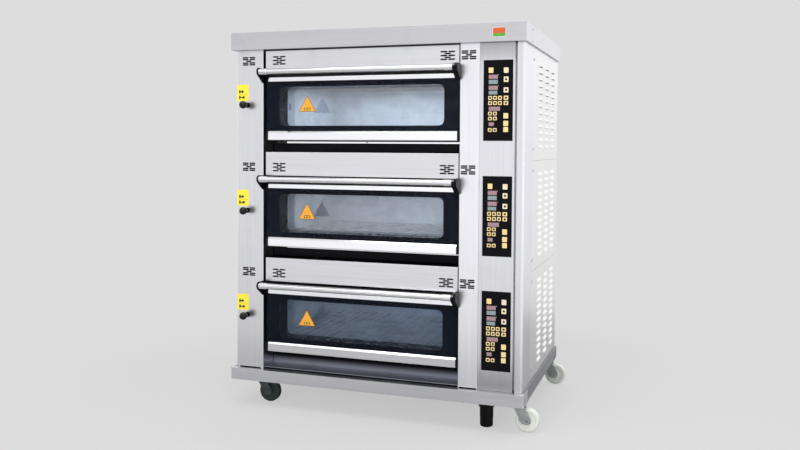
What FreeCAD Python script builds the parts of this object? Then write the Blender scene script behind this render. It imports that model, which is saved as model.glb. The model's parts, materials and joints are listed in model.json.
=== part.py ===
import FreeCAD, Part
import math
import os

V = FreeCAD.Vector

# A three-deck electric bakery oven on casters. Millimetres, +Z up, +X to the viewer's right,
# +Y from the front to the back. While it is built, y = 0 is the front face of the top fascia
# and of the base; save() then centres the depth, so that the origin lies on the floor, under
# the middle of the whole oven.

# ---- driving dimensions ---------------------------------------------------------------------
WIDTH = 1345.0              # over the top fascia and the base
DEPTH = 930.0               # fascia front to fascia back
DECKS = ("lower", "middle", "upper")
DECK_PITCH = 477.0          # from one deck to the same place on the next
CASTER_HEIGHT = 118.0       # floor to the underside of the base
BASE_HEIGHT = 52.0
FIRST_DECK = 83.5           # underside of the base to the lowest deck's recess floor
CASE_HEIGHT = 1494.5        # underside of the base to the underside of the fascia
FASCIA_HEIGHT = 77.5
CASE_HALF = 662.0           # half width over the side walls
FRONT_Y = 30.0              # doors, headers and columns stand back this far from the fascia
SHEET = 1.2                 # casing sheet
SKIN = 1.5                  # thicker sheet of the fascia and the base
EDGE_RADIUS = 4.0           # upright corners of the fascia and the base
RAIL = 50.0                 # square tubes of the base frame

BASE_Z = CASTER_HEIGHT
BASE_TOP = BASE_Z + BASE_HEIGHT
CASE_TOP = BASE_Z + CASE_HEIGHT
HALF = WIDTH / 2

# the front, from left to right
MOUTH_LEFT = -523.0         # inner edge of the left column
MOUTH_RIGHT = 388.5         # inner edge of the right column
DOOR_LEFT = -510.5
DOOR_RIGHT = 385.0
STRIP = 12.0                # raised upright strip beside a column
COLUMN_RIGHT = 473.0        # right column to control column
CONTROL_RIGHT = 621.0       # control column to the shadow gap
PANEL_LEFT = 489.0          # black control panels
PANEL_RIGHT = 612.0
POST_LEFT = 629.0
CORNER_RADIUS = 14.0
REAR_Y = 922.0              # outer face of the rear panel
GLAND_X = 300.0             # cable gland in the rear panel, and its height above the base
GLAND_RISE = 60.0
GLAND_RADIUS = 16.0
CABLE_RADIUS = 9.0
WRAP_Y = 205.0              # where the front corners end and the side panels start

# one deck, heights above its recess floor
SILL_Z = 35.0
DOOR_BOTTOM = 53.0
HINGE_Z = 68.0
GLASS_BOTTOM = 94.5
HEARTH_Z = 109.5
WINDOW_BOTTOM = 117.5
WINDOW_TOP = 290.5
GLASS_TOP = 314.0
CAVITY_TOP = 324.5
CAP_BOTTOM = 334.0
DOOR_TOP = 364.5
HEADER_BOTTOM = 370.5
VENT_Z = 409.0
KNOB_Z = 211.0
HANDLE_Z = 355.5
CONTROL_TOP = 385.0

# depths, from the fascia's front
HINGE_Y = 85.0
DOOR_BACK = 120.0
FRAME_Y = 124.0             # chamber mouth frame
CHAMBER_BACK = 785.0
HANDLE_Y = -22.0
KNOB_Y = -11.0

CHAMBER_LEFT = -493.0
CHAMBER_RIGHT = 367.0
LINER = 1.5
WINDOW_LEFT = -445.0
WINDOW_RIGHT = 320.0

HANDLE_RADIUS = 12.0
FERRULE_RADIUS = 14.0
BRACKET_RADIUS = 18.0
HINGE_PIN_RADIUS = 6.0
RUNNING = 0.05              # radial clearance of every running fit
DAMPER_X = -604.0
DAMPER_ROD_RADIUS = 4.0
BUSH_RADIUS = 7.0
PORT_Y = 240.0              # steam port in the chamber's left wall
PORT_RADIUS = 16.0

WHEEL_RADIUS = 50.0
WHEEL_WIDTH = 30.0
AXLE_RADIUS = 4.0
KINGPIN_RADIUS = 5.0
TRAIL = 38.0
# name, kingpin x and y, and the side that the wheel trails to
CASTERS = (("front_right", 640.0, 80.0, 1), ("front_left", -565.0, 110.0, 1),
           ("rear_right", 640.0, 850.0, 1), ("rear_left", -640.0, 850.0, -1))
FOOT_X, FOOT_Y = 503.0, 80.0

Y_MID = (HANDLE_Y - BRACKET_RADIUS + DEPTH) / 2


# ---- shape helpers --------------------------------------------------------------------------
def box(x0, x1, y0, y1, z0, z1):
    return Part.makeBox(x1 - x0, y1 - y0, z1 - z0, V(x0, y0, z0))


def rod(radius, start, end):
    """A solid round bar between two points."""
    span = V(*end) - V(*start)
    return Part.makeCylinder(radius, span.Length, V(*start), span)


def tube(outer, inner, start, end):
    return rod(outer, start, end).cut(rod(inner, start, end))


def rounded_wire(points, place):
    """A closed outline. A point is (a, b), or (a, b, radius) for a rounded corner."""
    corners = []
    for i, point in enumerate(points):
        here = V(point[0], point[1], 0)
        radius = point[2] if len(point) > 2 else 0
        if not radius:
            corners.append((here, None, here))
            continue
        before = (V(points[i - 1][0], points[i - 1][1], 0) - here).normalize()
        after_point = points[(i + 1) % len(points)]
        after = (V(after_point[0], after_point[1], 0) - here).normalize()
        half = before.getAngle(after) / 2
        reach = radius / math.tan(half)
        middle = (before + after).normalize() * (radius / math.sin(half) - radius)
        corners.append((here + before * reach, here + middle, here + after * reach))
    edges = []
    for i, (start, middle, end) in enumerate(corners):
        if middle:
            edges.append(Part.Arc(place(start), place(middle), place(end)).toShape())
        following = corners[(i + 1) % len(corners)][0]
        if (following - end).Length > 1e-6:
            edges.append(Part.makeLine(place(end), place(following)))
    return Part.Wire(edges)


def plate_xy(points, z0, z1):
    wire = rounded_wire(points, lambda p: V(p.x, p.y, z0))
    return Part.Face(wire).extrude(V(0, 0, z1 - z0))


def plate_xz(points, y0, y1):
    wire = rounded_wire(points, lambda p: V(p.x, y0, p.y))
    return Part.Face(wire).extrude(V(0, y1 - y0, 0))


def plate_yz(points, x0, x1):
    wire = rounded_wire(points, lambda p: V(x0, p.x, p.y))
    return Part.Face(wire).extrude(V(x1 - x0, 0, 0))


def folded(path, thickness):
    """The closed outline of a sheet folded along path, its thickness on the left of the way."""
    points = [V(p[0], p[1], 0) for p in path]
    radii = [p[2] if len(p) > 2 else 0 for p in path]
    ways = [(b - a).normalize() for a, b in zip(points, points[1:])]
    inner = []
    for i, point in enumerate(points):
        way_in = ways[max(i - 1, 0)]
        way_out = ways[min(i, len(ways) - 1)]
        left_in = V(-way_in.y, way_in.x, 0)
        left_out = V(-way_out.y, way_out.x, 0)
        mitre = (left_in + left_out).normalize()
        shift = mitre * (thickness / mitre.dot(left_in))
        turn = way_in.cross(way_out).z
        radius = 0
        if radii[i]:
            radius = radii[i] - thickness if turn > 0 else radii[i] + thickness
        inner.append((point.x + shift.x, point.y + shift.y, radius))
    return [(p.x, p.y, r) for p, r in zip(points, radii)] + inner[::-1]


def save(name, *solids):
    shape = solids[0] if len(solids) == 1 else Part.makeCompound(list(solids))
    shape = shape.copy()
    shape.translate(V(0, -Y_MID, 0))
    shape.exportStep("parts/" + name + ".step")


def deck_floor(deck):
    return BASE_Z + FIRST_DECK + deck * DECK_PITCH


def header_top(deck):
    """Height of a header's top edge: the next deck's recess floor, or just under the fascia."""
    if deck < len(DECKS) - 1:
        return deck_floor(deck + 1)
    return CASE_TOP - 4


# ---- vents and louvres ----------------------------------------------------------------------
SLOT_HEIGHT = 5.2
SLOT_PITCH = 8.0
SLOT_HALF_SPAN = 31.0
SLOT_BRIDGE = 3.0           # half the web between a row's two long slots
SHORT_SLOT = 13.0           # half the length of a row's single short slot
HEADER_VENT = "LSLSL"       # rows from the top: two long slots, or one short slot
COLUMN_VENT = "LLSLL"
HEADER_VENT_X = (-445.0, 335.0)
COLUMN_VENT_X = (-596.5, 426.0)


def slot(x0, x1, z, y0, y1):
    end = SLOT_HEIGHT / 2 - 0.1
    corners = [(x0, z - SLOT_HEIGHT / 2, end), (x1, z - SLOT_HEIGHT / 2, end),
               (x1, z + SLOT_HEIGHT / 2, end), (x0, z + SLOT_HEIGHT / 2, end)]
    return plate_xz(corners, y0, y1)


def vent_cutter(x, z, rows):
    slots = []
    for i, row in enumerate(rows):
        height = z + (2 - i) * SLOT_PITCH
        if row == "L":
            slots.append(slot(x - SLOT_HALF_SPAN, x - SLOT_BRIDGE, height, 20, 40))
            slots.append(slot(x + SLOT_BRIDGE, x + SLOT_HALF_SPAN, height, 20, 40))
        else:
            slots.append(slot(x - SHORT_SLOT, x + SHORT_SLOT, height, 20, 40))
    return slots


LOUVRE_LENGTH = 90.0
LOUVRE_PITCH = 30.0
LOUVRE_HEIGHT = 15.0
LOUVRE_DEPTH = 6.5
LOUVRE_ROWS = 13


def louvre():
    """One pressed hood on the plane x = 0, open downwards, centred on y = 0, z = 0."""
    low = -LOUVRE_HEIGHT / 2
    high = LOUVRE_HEIGHT / 2
    half = LOUVRE_LENGTH / 2
    inside = 1.0
    outer = plate_xy([(-0.6, -half), (LOUVRE_DEPTH, -half + 9, 8), (LOUVRE_DEPTH, half - 9, 8),
                      (-0.6, half)], low, high)
    inner = plate_xy([(-3, -half + inside + 1), (-0.6, -half + inside + 1),
                      (LOUVRE_DEPTH - inside, -half + 10, 7),
                      (LOUVRE_DEPTH - inside, half - 10, 7), (-0.6, half - inside - 1),
                      (-3, half - inside - 1)], low - 1, high)
    slope = plate_xz([(-4, high + 1), (LOUVRE_DEPTH + 4, high + 1), (LOUVRE_DEPTH + 4, low + 2),
                      (LOUVRE_DEPTH, low + 2), (0, high)], -half - 1, half + 1)
    inner_slope = slope.copy()
    inner_slope.translate(V(0, 0, -inside * 2))
    return outer.cut(slope).cut(inner.cut(inner_slope))


def louvre_throat():
    """The opening behind one hood."""
    half = LOUVRE_LENGTH / 2 - 3
    return box(-5, 0.5, -half, half, -LOUVRE_HEIGHT / 2, LOUVRE_HEIGHT / 2 - 4)


def louvred_panel(width, height, columns, rows, pitch):
    """A sheet on the plane x = 0, facing +X: width along y from 0, height along z from 0."""
    panel = box(-SHEET, 0, 0, width, 0, height)
    hood = louvre()
    throat = louvre_throat()
    hoods, throats = [], []
    for y in columns:
        for row in range(rows):
            z = height / 2 + (row - (rows - 1) / 2) * pitch
            for source, pile in ((hood, hoods), (throat, throats)):
                piece = source.copy()
                piece.translate(V(0, y, z))
                pile.append(piece)
    return panel.cut(throats).fuse(hoods)


# ---- base -----------------------------------------------------------------------------------
def make_base():
    """The frame of welded square tubes, the floor sheet on it and the bright cover in front."""
    wall = 3.0
    inner = HALF - SKIN

    def tube_rail(x0, x1, y0, y1, open_start, open_end, along):
        """A square tube. Its hollow runs out at the ends that are open."""
        outer = box(x0, x1, y0, y1, BASE_Z, BASE_TOP - SKIN)
        start = 0 if open_start else wall
        end = 0 if open_end else wall
        if along == "x":
            hollow = (x0 + start, x1 - end, y0 + wall, y1 - wall)
        else:
            hollow = (x0 + wall, x1 - wall, y0 + start, y1 - end)
        return outer.cut(box(*hollow, BASE_Z + wall, BASE_TOP - SKIN - wall))

    front = SKIN
    inside = front + RAIL, DEPTH - RAIL
    rails = [tube_rail(-inner, -inner + RAIL, front + EDGE_RADIUS, DEPTH, True, False, "y"),
             tube_rail(inner - RAIL, inner, front + EDGE_RADIUS, DEPTH, True, False, "y"),
             tube_rail(-inner + RAIL, inner - RAIL, front, inside[0], True, True, "x"),
             tube_rail(-inner + RAIL, inner - RAIL, inside[1], DEPTH, True, True, "x")]
    for middle in (CASTERS[1][1], FOOT_X):
        rails.append(tube_rail(middle - RAIL / 2, middle + RAIL / 2, *inside, True, True, "y"))
    save("base_frame", *rails)
    save("base_floor", box(-inner, inner, FRONT_Y - 1, DEPTH, BASE_TOP - SKIN, BASE_TOP))

    wrap = 100.0
    cover = plate_xy(folded([(-HALF, wrap), (-HALF, 0, EDGE_RADIUS), (HALF, 0, EDGE_RADIUS),
                             (HALF, wrap)], SKIN), BASE_Z, BASE_TOP)
    lip = box(-HALF + SKIN, HALF - SKIN, SKIN, FRONT_Y - 1, BASE_TOP - SKIN, BASE_TOP)
    save("base_front_cover", cover.fuse(lip).removeSplitter())

    sill_z = BASE_Z + 60
    sill = plate_yz([(FRONT_Y + 4, sill_z), (FRONT_Y + 4, sill_z + 2), (126, sill_z + 2),
                     (126, deck_floor(0) + SILL_Z), (128, deck_floor(0) + SILL_Z),
                     (128, sill_z)], MOUTH_LEFT + 1, MOUTH_RIGHT - 1)
    save("recess_sill", sill)


# ---- casing ---------------------------------------------------------------------------------
def make_fascia():
    """The band round the front and the sides, and the sheet that lies on it."""
    top = CASE_TOP + FASCIA_HEIGHT
    walls = plate_xy(folded([(-HALF, DEPTH), (-HALF, 0, EDGE_RADIUS), (HALF, 0, EDGE_RADIUS),
                             (HALF, DEPTH)], SKIN), CASE_TOP, top - SKIN)
    lip_path = folded([(-HALF + SKIN, DEPTH), (-HALF + SKIN, SKIN), (HALF - SKIN, SKIN),
                       (HALF - SKIN, DEPTH)], FRONT_Y - 4)
    lip = plate_xy(lip_path, CASE_TOP, CASE_TOP + SKIN)
    save("top_fascia", walls.fuse(lip).removeSplitter())
    cover = plate_xy([(-HALF, DEPTH), (-HALF, 0, EDGE_RADIUS), (HALF, 0, EDGE_RADIUS),
                      (HALF, DEPTH)], top - SKIN, top)
    apron = box(-HALF + SKIN, HALF - SKIN, DEPTH - SKIN, DEPTH, CASE_TOP + SKIN, top)
    save("top_cover", cover.fuse(apron).removeSplitter())


def make_columns():
    foot = BASE_TOP + 0.5
    shadow = BASE_TOP + 5          # the cover faces end above the base, with a dark line under
    head = CASE_TOP - 0.5
    flange_back = FRAME_Y - 1
    proud = FRONT_Y - 2

    left = plate_xy(folded([(-CASE_HALF, WRAP_Y), (-CASE_HALF, FRONT_Y, CORNER_RADIUS),
                            (MOUTH_LEFT - STRIP, FRONT_Y), (MOUTH_LEFT - STRIP, proud),
                            (MOUTH_LEFT, proud, 2), (MOUTH_LEFT, flange_back)], SHEET),
                    foot, head)
    right = plate_xy(folded([(MOUTH_RIGHT, flange_back), (MOUTH_RIGHT, FRONT_Y, 3),
                             (COLUMN_RIGHT - 0.5, FRONT_Y), (COLUMN_RIGHT - 0.5, 60)], SHEET),
                     foot, head)
    control = plate_xy(folded([(COLUMN_RIGHT, 60), (COLUMN_RIGHT, proud, 2),
                               (COLUMN_RIGHT + STRIP, proud), (COLUMN_RIGHT + STRIP, FRONT_Y),
                               (CONTROL_RIGHT, FRONT_Y, 2), (CONTROL_RIGHT, 60)], SHEET),
                       foot, head)
    post = plate_xy(folded([(CONTROL_RIGHT + 0.5, 60), (POST_LEFT, 60), (POST_LEFT, FRONT_Y, 2),
                            (CASE_HALF, FRONT_Y, CORNER_RADIUS), (CASE_HALF, WRAP_Y)], SHEET),
                    foot, head)

    left_cuts = [box(-CASE_HALF + 20, MOUTH_LEFT - STRIP, 20, 40, foot - 1, shadow)]
    right_cuts = [box(MOUTH_RIGHT + 4, COLUMN_RIGHT - 4, 20, 40, foot - 1, shadow)]
    control_cuts = []
    for deck in range(len(DECKS)):
        z = deck_floor(deck)
        left_cuts += vent_cutter(COLUMN_VENT_X[0], z + VENT_Z, COLUMN_VENT)
        right_cuts += vent_cutter(COLUMN_VENT_X[1], z + VENT_Z, COLUMN_VENT)
        left_cuts.append(rod(BUSH_RADIUS, (DAMPER_X, 20, z + KNOB_Z),
                             (DAMPER_X, 40, z + KNOB_Z)))
        pin = (HINGE_Y, z + HINGE_Z)
        left_cuts.append(rod(HINGE_PIN_RADIUS, (-530, *pin), (-515, *pin)))
        right_cuts.append(rod(HINGE_PIN_RADIUS, (380, *pin), (400, *pin)))
        control_cuts.append(box(PANEL_LEFT + 2, PANEL_RIGHT - 2, 20, 40, z + DOOR_BOTTOM + 2,
                                z + CONTROL_TOP - 2))
    save("left_column", left.cut(left_cuts))
    save("right_column", right.cut(right_cuts))
    save("control_column", control.cut(control_cuts))
    save("corner_post", post)


def make_headers():
    panels = []
    for deck in range(len(DECKS)):
        z = deck_floor(deck)
        top = header_top(deck)
        path = folded([(FRAME_Y - 1, z + HEADER_BOTTOM), (FRONT_Y, z + HEADER_BOTTOM, 2),
                       (FRONT_Y, top, 2), (FRAME_Y + 4, top)], -SHEET)
        panel = plate_yz(path, DOOR_LEFT, DOOR_RIGHT)
        cuts = [slots for x in HEADER_VENT_X for slots in vent_cutter(x, z + VENT_Z, HEADER_VENT)]
        panels.append(panel.cut(cuts))
    save("header_panels", *panels)


def make_control_panels():
    panels = []
    for deck in range(len(DECKS)):
        z = deck_floor(deck)
        outline = [(PANEL_LEFT, z + DOOR_BOTTOM, 1.5), (PANEL_RIGHT, z + DOOR_BOTTOM, 1.5),
                   (PANEL_RIGHT, z + CONTROL_TOP, 1.5), (PANEL_LEFT, z + CONTROL_TOP, 1.5)]
        panels.append(plate_xz(outline, FRONT_Y - 2, FRONT_Y))
    save("control_panels", *panels)


def make_side_panels():
    gap = 1.0
    seams = [BASE_TOP + gap, BASE_Z + 530, BASE_Z + 1007, CASE_TOP]
    columns = [410 - WRAP_Y, 585 - WRAP_Y, 760 - WRAP_Y]
    panels = []
    for low, high in zip(seams, seams[1:]):
        panel = louvred_panel(REAR_Y + 3 - WRAP_Y - gap, high - low - gap, columns,
                              LOUVRE_ROWS, LOUVRE_PITCH)
        panel.translate(V(CASE_HALF, WRAP_Y + gap, low + gap / 2))
        panels.append(panel)
        panels.append(panel.mirror(V(0, 0, 0), V(1, 0, 0)))
    save("side_panels", *panels)


def make_rear_panel():
    height = CASE_TOP - BASE_TOP - 2
    half = CASE_HALF - SHEET - 1
    panel = louvred_panel(2 * half, height, [half - 540, half + 430, half + 550], 30, 42.0)
    panel.rotate(V(0, 0, 0), V(0, 0, 1), 90)
    panel.translate(V(half, REAR_Y, BASE_TOP + 1))
    x, z = GLAND_X, BASE_TOP + GLAND_RISE
    save("rear_panel", panel.cut(rod(GLAND_RADIUS, (x, REAR_Y - 20, z), (x, DEPTH, z))))
    body = rod(GLAND_RADIUS, (x, REAR_Y - 14, z), (x, REAR_Y, z))
    collar = rod(GLAND_RADIUS + 5, (x, REAR_Y, z), (x, DEPTH - 1, z))
    gland = body.fuse(collar).cut(rod(CABLE_RADIUS, (x, REAR_Y - 20, z), (x, DEPTH, z)))
    save("mains_gland", gland.removeSplitter())


def make_screws():
    """Pan head screws of the fascia, the side panels and the base cover, on both sides."""
    spots = [(HALF, 135, CASE_TOP + 61), (HALF, 135, CASE_TOP + 13),
             (HALF, 22, BASE_Z + 26), (HALF, 80, BASE_Z + 14), (HALF, 80, BASE_Z + 38)]
    for seam in (BASE_TOP, BASE_Z + 530, BASE_Z + 1007):
        for z in (seam + 46, seam + 430):
            spots += [(CASE_HALF, 224, z), (CASE_HALF, 240, z + 6)]
    heads = []
    for x, y, z in spots:
        for side in (-1, 1):
            heads.append(rod(3.4, (side * x, y, z), (side * (x + 2), y, z)))
    save("casing_screws", *heads)


# ---- baking chambers ------------------------------------------------------------------------
HEATER_RADIUS = 4.0
HEATER_LEGS = (190.0, 296.0, 402.0, 508.0, 614.0, 720.0)
UPPER_HEATER_Z = 311.0
LOWER_HEATER_Z = 97.0
LAMP_X = 290.0
LAMP_Z = 268.0


def heater_holes(z, radius):
    return [rod(radius, (350, y, z + level), (420, y, z + level))
            for y in HEATER_LEGS for level in (UPPER_HEATER_Z, LOWER_HEATER_Z)]


def make_liner(deck):
    """The chamber's sheets and its mouth frame, meeting face to face."""
    z = deck_floor(deck)
    low, high = z + 88, z + CAVITY_TOP + LINER
    back = CHAMBER_BACK
    floor_sheet = box(CHAMBER_LEFT, CHAMBER_RIGHT, 126, back, low, low + LINER)
    ceiling = box(CHAMBER_LEFT, CHAMBER_RIGHT, 126, back, high - LINER, high)
    left = box(CHAMBER_LEFT - LINER, CHAMBER_LEFT, 126, back, low, high)
    port = (PORT_Y, z + KNOB_Z)
    left = left.cut(rod(PORT_RADIUS, (-500, *port), (-480, *port)))
    right = box(CHAMBER_RIGHT, CHAMBER_RIGHT + LINER, 126, back, low, high)
    right = right.cut(heater_holes(z, HEATER_RADIUS))
    rear = box(CHAMBER_LEFT - LINER, CHAMBER_RIGHT + LINER, back, back + LINER, low, high)
    rear = rear.cut(rod(26, (LAMP_X, back - 5, z + LAMP_Z), (LAMP_X, back + 5, z + LAMP_Z)))
    edge_left, edge_right = MOUTH_LEFT + 0.5, MOUTH_RIGHT - 0.5
    bars = [box(edge_left, edge_right, FRAME_Y, 126, z + SILL_Z, z + HEARTH_Z),
            box(edge_left, edge_right, FRAME_Y, 126, z + CAVITY_TOP, header_top(deck) - 1.5),
            box(edge_left, CHAMBER_LEFT, FRAME_Y, 126, z + HEARTH_Z, z + CAVITY_TOP),
            box(CHAMBER_RIGHT, edge_right, FRAME_Y, 126, z + HEARTH_Z, z + CAVITY_TOP)]
    if deck:
        bars.append(box(edge_left, edge_right, 128, 129.5, z + 0.5, z + SILL_Z + 10))
    save(DECKS[deck] + "_chamber_liner", floor_sheet, ceiling, left, right, rear, *bars)


def make_hearths():
    """Ridged steel baking plates, with turned-down edges that stand on the chamber floor."""
    plate = 3.0
    ridge_pitch, ridge_width, ridge_height = 43.0, 9.0, 3.0
    hearths = []
    for deck in range(len(DECKS)):
        z = deck_floor(deck)
        top = z + HEARTH_Z - ridge_height
        x0, x1 = CHAMBER_LEFT + 1, CHAMBER_RIGHT - 1
        sheet = box(x0, x1, 127, CHAMBER_BACK - 2, top - plate, top)
        legs = [box(x0, x0 + plate, 127, CHAMBER_BACK - 2, z + 88 + LINER, top - plate),
                box(x1 - plate, x1, 127, CHAMBER_BACK - 2, z + 88 + LINER, top - plate)]
        legs[1] = legs[1].cut(heater_holes(z, HEATER_RADIUS + 1))
        count = int((x1 - x0) / ridge_pitch)
        start = (x0 + x1 - (count - 1) * ridge_pitch) / 2
        ridges = []
        for i in range(count):
            x = start + i * ridge_pitch
            ridges.append(plate_xz([(x - ridge_width / 2, top - 1),
                                    (x - ridge_width / 2 + 2, top + ridge_height, 1.5),
                                    (x + ridge_width / 2 - 2, top + ridge_height, 1.5),
                                    (x + ridge_width / 2, top - 1)], 127, CHAMBER_BACK - 2))
        hearths.append(sheet.fuse(legs + ridges).removeSplitter())
    save("hearth_plates", *hearths)


def make_heaters():
    """Hairpin tube heaters above and below each hearth, held up by two drilled hangers."""
    solids = []
    end = 412.0
    bend_x = CHAMBER_LEFT + 62
    for deck in range(len(DECKS)):
        z = deck_floor(deck)
        for level in (UPPER_HEATER_Z, LOWER_HEATER_Z):
            for first, second in zip(HEATER_LEGS[::2], HEATER_LEGS[1::2]):
                legs = [rod(HEATER_RADIUS, (bend_x, y, z + level), (end, y, z + level))
                        for y in (first, second)]
                bend = Part.makeTorus((second - first) / 2, HEATER_RADIUS,
                                      V(0, 0, 0), V(0, 0, 1), -180, 180, 180)
                bend.rotate(V(0, 0, 0), V(0, 0, 1), 90)
                bend.translate(V(bend_x, (first + second) / 2, z + level))
                solids.append(legs[0].fuse([bend, legs[1]]))
        for x in (-300.0, 180.0):
            for level, low, high in ((UPPER_HEATER_Z, UPPER_HEATER_Z - 6, CAVITY_TOP),
                                     (LOWER_HEATER_Z, 88 + LINER, LOWER_HEATER_Z + 5.5)):
                hanger = box(x, x + 1.5, 160, 750, z + low, z + high)
                holes = [rod(HEATER_RADIUS, (x - 5, y, z + level), (x + 5, y, z + level))
                         for y in HEATER_LEGS]
                solids.append(hanger.cut(holes))
    save("heating_elements", *solids)


def make_lamps():
    lenses = []
    for deck in range(len(DECKS)):
        z = deck_floor(deck) + LAMP_Z
        flange = rod(30, (LAMP_X, CHAMBER_BACK, z), (LAMP_X, CHAMBER_BACK - 4, z))
        barrel = rod(25.5, (LAMP_X, CHAMBER_BACK, z), (LAMP_X, CHAMBER_BACK + 30, z))
        lens = Part.makeSphere(40, V(LAMP_X, CHAMBER_BACK + 24, z))
        dome = lens.common(rod(26, (LAMP_X, CHAMBER_BACK - 20, z), (LAMP_X, CHAMBER_BACK, z)))
        lenses.append(flange.fuse([barrel, dome]).removeSplitter())
    save("chamber_lamps", *lenses)


def make_insulation():
    """Mineral wool slabs round each chamber. The left one leaves room for the damper's gate."""
    slabs = []
    left, right = MOUTH_LEFT + 2, MOUTH_RIGHT - 2
    for deck in range(len(DECKS)):
        z = deck_floor(deck)
        low, high = z + 87, z + CAVITY_TOP + LINER + 1
        back = CHAMBER_BACK + LINER
        slabs.append(box(left, right, 132, back, low - 20, low))
        slabs.append(box(left, right, 132, back, high, high + 20))
        gate_room = box(left - 1, 0, 160, 290, z + KNOB_Z - 34, z + KNOB_Z + 34)
        slabs.append(box(left, CHAMBER_LEFT - LINER - 0.5, 132, back, low, high).cut(gate_room))
        side = box(CHAMBER_RIGHT + LINER + 0.5, right, 132, back, low, high)
        slabs.append(side.cut(heater_holes(z, HEATER_RADIUS + 1)))
        rear = box(left, right, back + 0.5, back + 30, low - 20, high + 20)
        rear = rear.cut(rod(32, (LAMP_X, back, z + LAMP_Z), (LAMP_X, back + 40, z + LAMP_Z)))
        slabs.append(rear)
    save("insulation", *slabs)


# ---- doors ----------------------------------------------------------------------------------
def make_door(deck):
    z = deck_floor(deck)
    name = DECKS[deck] + "_door_"
    pan_front = FRONT_Y + 4
    low, high = z + DOOR_BOTTOM, z + DOOR_TOP
    window = (WINDOW_LEFT, WINDOW_RIGHT, z + WINDOW_BOTTOM, z + WINDOW_TOP)

    def window_block(grow, y0, y1):
        x0, x1, z0, z1 = window
        corner = 22 + grow
        outline = [(x0 - grow, z0 - grow, corner), (x1 + grow, z0 - grow, corner),
                   (x1 + grow, z1 + grow, corner), (x0 - grow, z1 + grow, corner)]
        return plate_xz(outline, y0, y1)

    pan = box(DOOR_LEFT, DOOR_RIGHT, pan_front, DOOR_BACK, low, high)
    pan = pan.cut(box(DOOR_LEFT + SHEET, DOOR_RIGHT - SHEET, pan_front - 1, DOOR_BACK - SHEET,
                      low + SHEET, high - SHEET))
    tunnel = window_block(SHEET, pan_front, DOOR_BACK)
    blocks = [box(x0, x1, HINGE_Y - 15, HINGE_Y + 15, low, low + 30)
              for x0, x1 in ((DOOR_LEFT, DOOR_LEFT + 16), (DOOR_RIGHT - 16, DOOR_RIGHT))]
    pan = pan.fuse([tunnel] + blocks).cut(window_block(0, pan_front - 1, DOOR_BACK + 1))
    bore = HINGE_PIN_RADIUS + RUNNING
    axis = (HINGE_Y, z + HINGE_Z)
    pan = pan.cut([rod(bore, (DOOR_LEFT - 1, *axis), (DOOR_LEFT + 12.5, *axis)),
                   rod(bore, (DOOR_RIGHT + 1, *axis), (DOOR_RIGHT - 12.5, *axis))])
    glass = plate_xz([(DOOR_LEFT + 2, z + GLASS_BOTTOM, 3), (DOOR_RIGHT - 2, z + GLASS_BOTTOM, 3),
                      (DOOR_RIGHT - 2, z + GLASS_TOP, 3), (DOOR_LEFT + 2, z + GLASS_TOP, 3)],
                     FRONT_Y, pan_front)
    save(name + "outer_glass", glass)
    save(name + "inner_glass", window_block(0, DOOR_BACK - 9, DOOR_BACK - 5))

    strip_left, strip_right = DOOR_LEFT + 14, DOOR_RIGHT - 6
    bottom_strip = plate_yz([(pan_front, low), (24.5, low, 1.5), (23, low + 3, 1.5),
                             (23, z + GLASS_BOTTOM - 8, 2), (FRONT_Y - 1, z + GLASS_BOTTOM - 0.5),
                             (pan_front, z + GLASS_BOTTOM - 0.5)], strip_left, strip_right)
    top_strip = plate_yz([(pan_front, z + GLASS_TOP + 0.5), (26, z + GLASS_TOP + 0.5, 1.5),
                          (26, z + CAP_BOTTOM - 0.5, 1.5), (pan_front, z + CAP_BOTTOM - 0.5)],
                         strip_left, strip_right)
    hollow = [box(strip_left - 1, strip_right + 1, FRONT_Y - 4, pan_front - 1, low + 3,
                  z + GLASS_BOTTOM - 9),
              box(strip_left - 1, strip_right + 1, FRONT_Y - 3, pan_front - 1,
                  z + GLASS_TOP + 2.5, z + CAP_BOTTOM - 2.5)]
    save(name + "trims", bottom_strip.cut(hollow[0]), top_strip.cut(hollow[1]))

    cap = plate_yz([(pan_front, z + CAP_BOTTOM), (26, z + CAP_BOTTOM, 1.5),
                    (26, z + CAP_BOTTOM + 13), (28, z + CAP_BOTTOM + 15),
                    (26, z + CAP_BOTTOM + 17), (26, high, 2), (pan_front, high)],
                   DOOR_LEFT, DOOR_RIGHT)
    side_trims = [box(x0, x1, FRONT_Y - 1, pan_front, z0, z1)
                  for x0, x1 in ((DOOR_LEFT, strip_left), (strip_right, DOOR_RIGHT))
                  for z0, z1 in ((low, z + GLASS_BOTTOM - 0.5),
                                 (z + GLASS_TOP + 0.5, z + CAP_BOTTOM - 0.5))]
    save(name + "frame", pan.removeSplitter(), cap, *side_trims)
    make_handle(name, z)


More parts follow.
